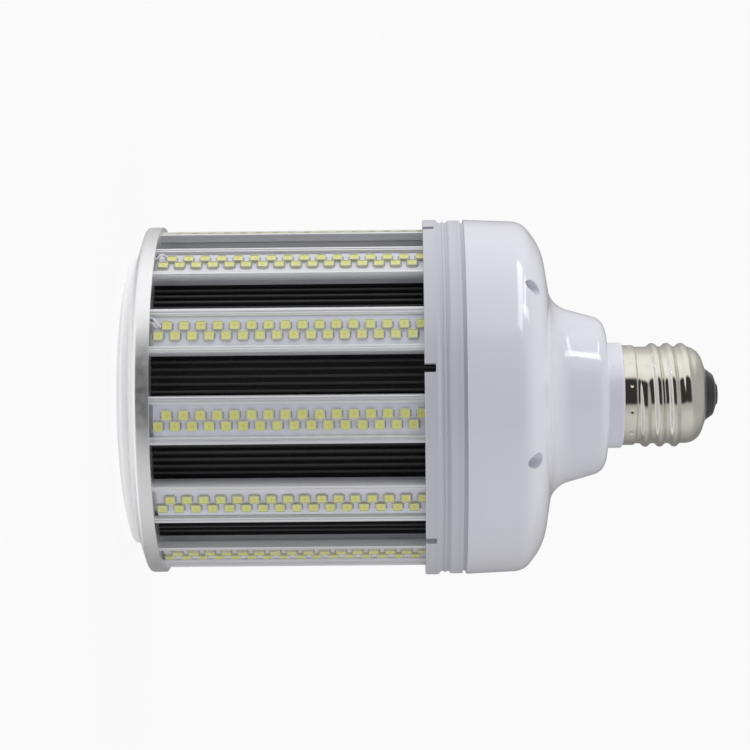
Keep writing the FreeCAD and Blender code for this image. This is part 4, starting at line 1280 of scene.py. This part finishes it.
shell_end = SHELL_END / MM
band_end = shell_rim + BAND_HEIGHT
root_start = band_end + SHELL_WALL
root_end = shell_end - SHELL_CORNER
band_rows = int(BAND_HEIGHT / ROW)
root_rows = int((shell_end - SHELL_CORNER - band_end - SHELL_WALL) / ROW)
band_row = BAND_HEIGHT / band_rows
root_row = (root_end - root_start) / root_rows
shell_corners = [(BAND_RADIUS, shell_rim + band_row * k, 0) for k in range(band_rows)]
shell_corners.append((BAND_RADIUS, band_end, 0.2))
shell_corners += [(ROOT_RADIUS, root_start + root_row * k, 0) for k in range(root_rows + 1)]
shell_corners += [
    (ROOT_RADIUS, shell_end - END_FALL, END_ROUNDING),
    (MOUTH_RADIUS, shell_end, 0.1),
    (MOUTH_RADIUS, shell_end - SHELL_WALL, 0),
    (ROOT_RADIUS - SHELL_WALL, shell_end - END_FALL - SHELL_WALL, END_ROUNDING - SHELL_WALL),
    (ROOT_RADIUS - SHELL_WALL, root_start, 0),
    (BAND_RADIUS - SHELL_WALL, band_end, 0),
    (BAND_RADIUS - SHELL_WALL, shell_rim, 0),
]
shell_bm = turned(shell_corners, steps=SHELL_STEPS, arc_steps=14)
thread_limit = shell_end - SHELL_CORNER / 2
for vert in shell_bm.verts:
    radius = math.hypot(vert.co.x, vert.co.y)
    angle = math.atan2(vert.co.y, vert.co.x)
    height = vert.co.z / MM
    on_root = abs(radius / MM - ROOT_RADIUS) < ON_ROOT and height > band_end + SHELL_WALL / 2
    on_band = abs(radius / MM - BAND_RADIUS) < ON_BAND
    if not (on_root or on_band) or height > thread_limit:
        continue
    change = thread_height(angle, height) if on_root else -dimple_depth(angle, height)
    grown = 1 + change * MM / radius
    vert.co.x *= grown
    vert.co.y *= grown
keep_piece(shell_bm, "threaded_shell", [nickel], ["screw_shell"], sharp=60)

# %% [markdown]
# ## Insulator and contact
# Black glass fills the mouth of the cup and holds the tinned centre contact. A cone and a disc
# would look sharp beside the real ones, because the glass was poured and the contact was
# pressed, so both are spun from outlines with rounded corners.

# %% Insulator and contact
INSULATOR_RISE = 2.95
INSULATOR_TIP = 5.1
INSULATOR_SLOPE = 2.1
INSULATOR_DEPTH = 3.0
CONTACT_RADIUS = 2.6
CONTACT_RISE = 0.25
CONTACT_DEPTH = 1.2

glass_radius = MOUTH_RADIUS - FIT
tip_height = shell_end + INSULATOR_RISE
glass_corners = [
    (0, shell_end - INSULATOR_DEPTH, 0),
    (glass_radius - CONTACT_DEPTH, shell_end - INSULATOR_DEPTH, 0),
    (glass_radius, shell_end - SHELL_WALL, 0),
    (glass_radius, shell_end, 0.15),
    (INSULATOR_TIP, shell_end + INSULATOR_SLOPE, 1.2),
    (CONTACT_RADIUS + FIT, tip_height, 0.3),
    (CONTACT_RADIUS + FIT, tip_height - CONTACT_DEPTH, 0),
    (0, tip_height - CONTACT_DEPTH, 0),
]
glass_bm = turned(glass_corners, steps=96, closed=False)
keep_piece(
    glass_bm, "glass_insulator", [black_glass], ["cap_insulator"], sharp=40
)

contact_corners = [
    (0, tip_height - CONTACT_DEPTH, 0),
    (CONTACT_RADIUS, tip_height - CONTACT_DEPTH, 0),
    (CONTACT_RADIUS, tip_height + CONTACT_RISE, 0.2),
    (0, tip_height + CONTACT_RISE, 0),
]
contact_bm = turned(contact_corners, steps=64, arc_steps=4, closed=False)
keep_piece(
    contact_bm, "tinned_contact", [tin_painted_dark], ["centre_contact"], sharp=40
)

# %% [markdown]
# ## Jumper leads
# Short white leads come out beside the ring and go to the first pads of two strips. A curve with
# a round bevel bends more smoothly than joined bars, and it is made into a mesh at once, so that
# its place is in the mesh.

# %% Jumper leads
LEAD_RADIUS = 0.3
# Each lead's strip, counted from 0, and its points: across the strip, above the board, and along
# the bulb from the ring.
LEADS = (
    (10, ((-1.2, 0.6, 0), (-1.2, 0.6, 0.4), (-1.7, 1.3, 1.0), (-2.2, 1.2, 1.8), (-2.4, 0.3, 2.5))),
    (11, ((-3.1, 1.0, 0), (-3.1, 1.0, 0.4), (-2.7, 1.3, 0.9), (-1.5, 1.1, 1.7), (-1.1, 0.3, 2.5))),
    (11, ((-2.0, 0.7, 0), (-2.0, 0.7, 0.3), (-1.8, 0.9, 0.6), (-1.1, 0.7, 1.1), (-0.9, 0.3, 1.6))),
)


def lead_mesh(route, angle):
    """One lead, for a strip at this angle."""
    curve = bpy.data.curves.new("lead", "CURVE")
    curve.dimensions = "3D"
    curve.bevel_depth = LEAD_RADIUS * MM
    curve.bevel_resolution = 3
    curve.use_fill_caps = True
    line = curve.splines.new("NURBS")
    line.points.add(len(route) - 1)
    for point, (across_strip, above, along) in zip(line.points, route):
        spot = Vector(((board_top + above) * MM, across_strip * MM, RING_BACK + along * MM))
        spot.rotate(Matrix.Rotation(angle, 3, "Z"))
        point.co = (*spot, 1)
    line.order_u = 3
    line.use_endpoint_u = True
    line.resolution_u = 6
    holder = bpy.data.objects.new("lead", curve)
    bpy.context.scene.collection.objects.link(holder)
    graph = bpy.context.evaluated_depsgraph_get()
    bm = bmesh.new()
    bm.from_mesh(holder.evaluated_get(graph).to_mesh())
    bpy.data.objects.remove(holder)
    return bm


lead_bms = [lead_mesh(route, STRIP_ANGLES[strip]) for strip, route in LEADS]
keep_piece(
    joined(lead_bms), "leads", [wire_white], ["jumper_leads"], sharp=50
)

# %% [markdown]
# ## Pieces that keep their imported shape
# The boards are plain strips, and the driver's parts and the inner screws are hidden once the
# bulb is closed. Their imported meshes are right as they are, so each one only gets its finish.

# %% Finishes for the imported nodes
packed_finishes = {f"led_board_{k:02d}": board_white for k in range(1, STRIPS + 1)}
packed_finishes.update(
    {
        "head_led_board": board_white,
        "head_led_chips": head_phosphor,
        "head_screws": zinc,
        "tray_screws": zinc,
        "driver_board": laminate,
        "driver_transformer": moulded_black,
        "driver_rectifier": moulded_black,
        "driver_choke": moulded_black,
        "driver_capacitors": sleeve,
    }
)
for name, finish in packed_finishes.items():
    for material_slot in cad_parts[name].material_slots:
        material_slot.material = finish
print("packed nodes finished:", len(packed_finishes))

# %% [markdown]
# ## Light
# The photograph has a plain white ground and light from a tent: bright above and below the
# bulb, with a dark gap towards the camera. Lamps could copy it, but the world can be the tent
# itself, with a brightness that depends on the direction round the bulb's axis. One ramp lights
# the surfaces, and another is what metal and gloss reflect: its dip makes the dark bands on the
# cap and ring. The camera itself sees plain white.

# %% Levels of the tent
WHITE = 0.955
# Light at angles round the axis, in degrees from the camera's side. Negative angles are up in
# the photograph. A ramp holds no more than TENT_PEAK.
TENT_PEAK = 1.6
TENT = (
    (-180, (0.16, 0.16, 0.16)),
    (-150, (0.90, 0.90, 0.90)),
    (-122, (1.55, 1.55, 1.56)),
    (-86, (1.55, 1.55, 1.56)),
    (-64, (1.32, 1.32, 1.34)),
    (-48, (1.16, 1.16, 1.18)),
    (-40, (0.01, 0.03, 0.10)),
    (21, (0.01, 0.03, 0.10)),
    (28, (0.90, 0.90, 0.93)),
    (60, (1.04, 1.04, 1.05)),
    (75, (0.60, 0.60, 0.59)),
    (94, (0.12, 0.12, 0.11)),
    (112, (0.04, 0.04, 0.04)),
    (180, (0.04, 0.04, 0.04)),
)
# What is reflected from there, as a share of the white ground.
MIRRORED = (
    (-180, 0.26),
    (-142, 0.56),
    (-122, 0.72),
    (-100, 1.02),
    (-60, 1.04),
    (-43, 0.95),
    (-36, 0.04),
    (19, 0.04),
    (25, 0.48),
    (50, 0.66),
    (82, 0.64),
    (112, 0.42),
    (138, 0.26),
    (180, 0.26),
)
# The ends of the tent: where each one starts and is complete along the axis, and its light.
TENT_ENDS = ((-1, (0.35, 0.75, 0.86)), (1, (0.35, 0.75, 1.1)))
MIRRORED_ENDS = ((-1, (0.50, 0.64, 0.92)), (1, (0.50, 0.85, 0.45)))

WHITE_LIGHT = (1, 1, 1, 1)
print("tent levels:", len(TENT), "mirrored levels:", len(MIRRORED))

# %% Nodes of the world
world = bpy.data.worlds.new("tent")
bpy.context.scene.world = world
world.use_nodes = True
world.node_tree.nodes.clear()


def world_node(kind, inputs, **settings):
    """A node of the world, with a socket, a number or a colour for each of its named inputs."""
    node = add_node(world, kind, **settings)
    for name, item in inputs.items():
        if isinstance(item, bpy.types.NodeSocket):
            connect(world, item, node.inputs[name])
        else:
            node.inputs[name].default_value = item
    return node


def world_math(operation, *numbers):
    return world_node("ShaderNodeMath", dict(enumerate(numbers)), operation=operation).outputs[0]


def background(colour, strength):
    node = world_node("ShaderNodeBackground", {"Color": colour, "Strength": strength})
    return node.outputs["Background"]


def blend_by(share, first, second):
    node = world_node("ShaderNodeMixShader", {"Fac": share, 1: first, 2: second})
    return node.outputs["Shader"]


def ramp_by_angle(share, stops):
    """Colours by the direction round the axis."""
    ramp = world_node("ShaderNodeValToRGB", {"Fac": share})
    elements = ramp.color_ramp.elements
    elements[1].position = 1
    for angle, _ in stops[1:-1]:
        elements.new((angle + 180) / 360)
    for element, (_, tone) in zip(elements, stops):
        element.color = (*tone, 1)
    return ramp.outputs["Color"]


# %% The tent
direction = add_node(world, "ShaderNodeTexCoord").outputs["Generated"]
split = world_node("ShaderNodeSeparateXYZ", {"Vector": direction})
towards = world_math("MULTIPLY", split.outputs["Y"], -1)
round_axis = world_math("ARCTAN2", split.outputs["X"], towards)
share = world_math("MULTIPLY_ADD", round_axis, 1 / (2 * math.pi), 0.5)


def with_ends(sides, ends):
    """Closes the tent at the head and at the cap."""
    for sign, (start, full, level) in ends:
        outwards = world_math("MULTIPLY", split.outputs["Z"], sign)
        reach = {"Value": outwards, "From Min": start, "From Max": full}
        rise = world_node("ShaderNodeMapRange", reach, interpolation_type="SMOOTHSTEP")
        sides = blend_by(rise.outputs["Result"], sides, background(WHITE_LIGHT, level))
    return sides


tent_tones = [(angle, [level / TENT_PEAK for level in tone]) for angle, tone in TENT]
mirror_tones = [(angle, (level / TENT_PEAK,) * 3) for angle, level in MIRRORED]
sides = background(ramp_by_angle(share, tent_tones), TENT_PEAK)
tent_light = with_ends(sides, TENT_ENDS)
mirror = background(ramp_by_angle(share, mirror_tones), WHITE * TENT_PEAK)
mirrored = with_ends(mirror, MIRRORED_ENDS)
ground = background(WHITE_LIGHT, WHITE)
path = add_node(world, "ShaderNodeLightPath")
lit = blend_by(path.outputs["Is Glossy Ray"], tent_light, mirrored)
seen = world_math("MAXIMUM", path.outputs["Is Camera Ray"], path.outputs["Is Transmission Ray"])
world_node("ShaderNodeOutputWorld", {"Surface": blend_by(seen, lit, ground)})
print("nodes in the world:", len(world.node_tree.nodes))

# %% [markdown]
# ## Floor
# The bulb stands with its lens on white paper, which fades into the ground. A plain white floor
# would shade to grey away from the light, so most of its colour is a glow, and the rest is real
# paper, which keeps a soft shadow. The floor neither lights the bulb nor shades it.

# %% Floor
FLOOR_SIZE = 12.0
FLOOR_GLOW = 0.975
GLOW_SHARE = 0.9

floor_bm = bmesh.new()
bmesh.ops.create_grid(floor_bm, x_segments=1, y_segments=1, size=FLOOR_SIZE / 2)
floor_mesh = bpy.data.meshes.new("floor")
floor_bm.to_mesh(floor_mesh)
floor_bm.free()
floor = bpy.data.objects.new("floor", floor_mesh)
bpy.context.scene.collection.objects.link(floor)
floor.visible_diffuse = False
floor.visible_glossy = False
floor.visible_shadow = False

paper = new_finish("white_paper", Roughness=0.9, Specular_IOR_Level=0.1)
tint(paper, grain(paper, 40), (0.88, 0.88, 0.88), (0.9, 0.9, 0.9))
glow = add_node(paper, "ShaderNodeEmission")
glow.inputs["Strength"].default_value = FLOOR_GLOW
blend = add_node(paper, "ShaderNodeMixShader")
blend.inputs["Fac"].default_value = GLOW_SHARE
connect(paper, paper.node_tree.nodes["Principled BSDF"].outputs["BSDF"], blend.inputs[1])
connect(paper, glow.outputs["Emission"], blend.inputs[2])
connect(paper, blend.outputs["Shader"], paper.node_tree.nodes["Material Output"].inputs["Surface"])
floor_mesh.materials.append(paper)
print("floor side, in metres:", FLOOR_SIZE)

# %% [markdown]
# ## Strip lamps
# Three narrow lamps stand above the shoulder, and the glossy housing shows them as the bright
# bars that the photograph has on the shoulder and the neck. Bright patches in the world would
# show on every piece, while a lamp can be linked to the housing alone. The lamps only show as
# reflections, because the tent already gives all the light there is.


# %% Strip lamps
# The spot on the shoulder, in metres, from which the lamps' directions are measured.
SHOULDER_SPOT = Vector((-0.03, -0.034, 0.097))
LAMP_REACH = 0.8
LAMP_RADIANCE = 4.0
lit_by_lamps = bpy.data.collections.new("lit_by_lamps")
lit_by_lamps.objects.link(housing)


def strip_lamp(name, start, end, width):
    """A narrow lamp seen from the shoulder between two directions."""
    first, last = (Vector(item).normalized() * LAMP_REACH for item in (start, end))
    middle = (first + last) / 2
    along = (last - first).normalized()
    away = (middle - along * middle.dot(along)).normalized()
    data = bpy.data.lights.new(name, "AREA")
    data.shape = "RECTANGLE"
    data.size = (last - first).length
    data.size_y = width
    data.energy = LAMP_RADIANCE * math.pi * data.size * width
    lamp = bpy.data.objects.new(name, data)
    bpy.context.scene.collection.objects.link(lamp)
    lamp.location = SHOULDER_SPOT + middle
    lamp.rotation_euler = Matrix((along, away.cross(along), away)).transposed().to_euler()
    lamp.visible_camera = False
    lamp.visible_diffuse = False
    lamp.light_linking.receiver_collection = lit_by_lamps


strip_lamp("near_bar", (-0.67, -0.70, 0.31), (-0.95, 0.18, 0.32), 0.24)
strip_lamp("far_bar", (-0.69, -0.38, 0.60), (-0.79, 0.12, 0.60), 0.10)
strip_lamp("rising_bar", (-0.76, -0.40, 0.50), (-0.55, -0.10, 0.82), 0.10)
print("lamps:", len(bpy.data.lights))

# %% [markdown]
# ## Camera
# The photograph shows the bulb lying on its side, so the camera is rolled a quarter turn: up
# in the picture is -X here. A tracking constraint could aim it, but it wouldn't hold the roll, so
# its three directions are worked out and set. Its distance comes from how much each ring's
# curve is foreshortened, and its lens from the size of one pixel at the bulb's axis.

# %% Camera
PHOTO_SIDE = 750
PIXEL = 0.253 * MM
CAMERA_DISTANCE = 0.611
CAMERA_HEIGHT = 0.0715
AIM = Vector((-0.0057, 0, 0.0629))
TILT = math.radians(0.55)
SENSOR = 36.0
NEAREST, FARTHEST = 0.01, 50

camera_data = bpy.data.cameras.new("camera")
camera_data.sensor_width = SENSOR
camera_data.lens = SENSOR * CAMERA_DISTANCE / (PHOTO_SIDE * PIXEL)
camera_data.clip_start = NEAREST
camera_data.clip_end = FARTHEST
camera = bpy.data.objects.new("camera", camera_data)
bpy.context.scene.collection.objects.link(camera)
camera.location = (0, -CAMERA_DISTANCE, CAMERA_HEIGHT)
backwards = (camera.location - AIM).normalized()
right = Vector((-1, 0, 0)).cross(backwards).normalized()
upwards = backwards.cross(right)
rolled_right = right * math.cos(TILT) - upwards * math.sin(TILT)
rolled_up = backwards.cross(rolled_right)
turn = Matrix((rolled_right, rolled_up, backwards)).transposed()
camera.rotation_euler = turn.to_euler()
bpy.context.scene.camera = camera
bpy.context.scene.view_settings.view_transform = "Standard"
print(f"lens {camera_data.lens:.1f} mm")
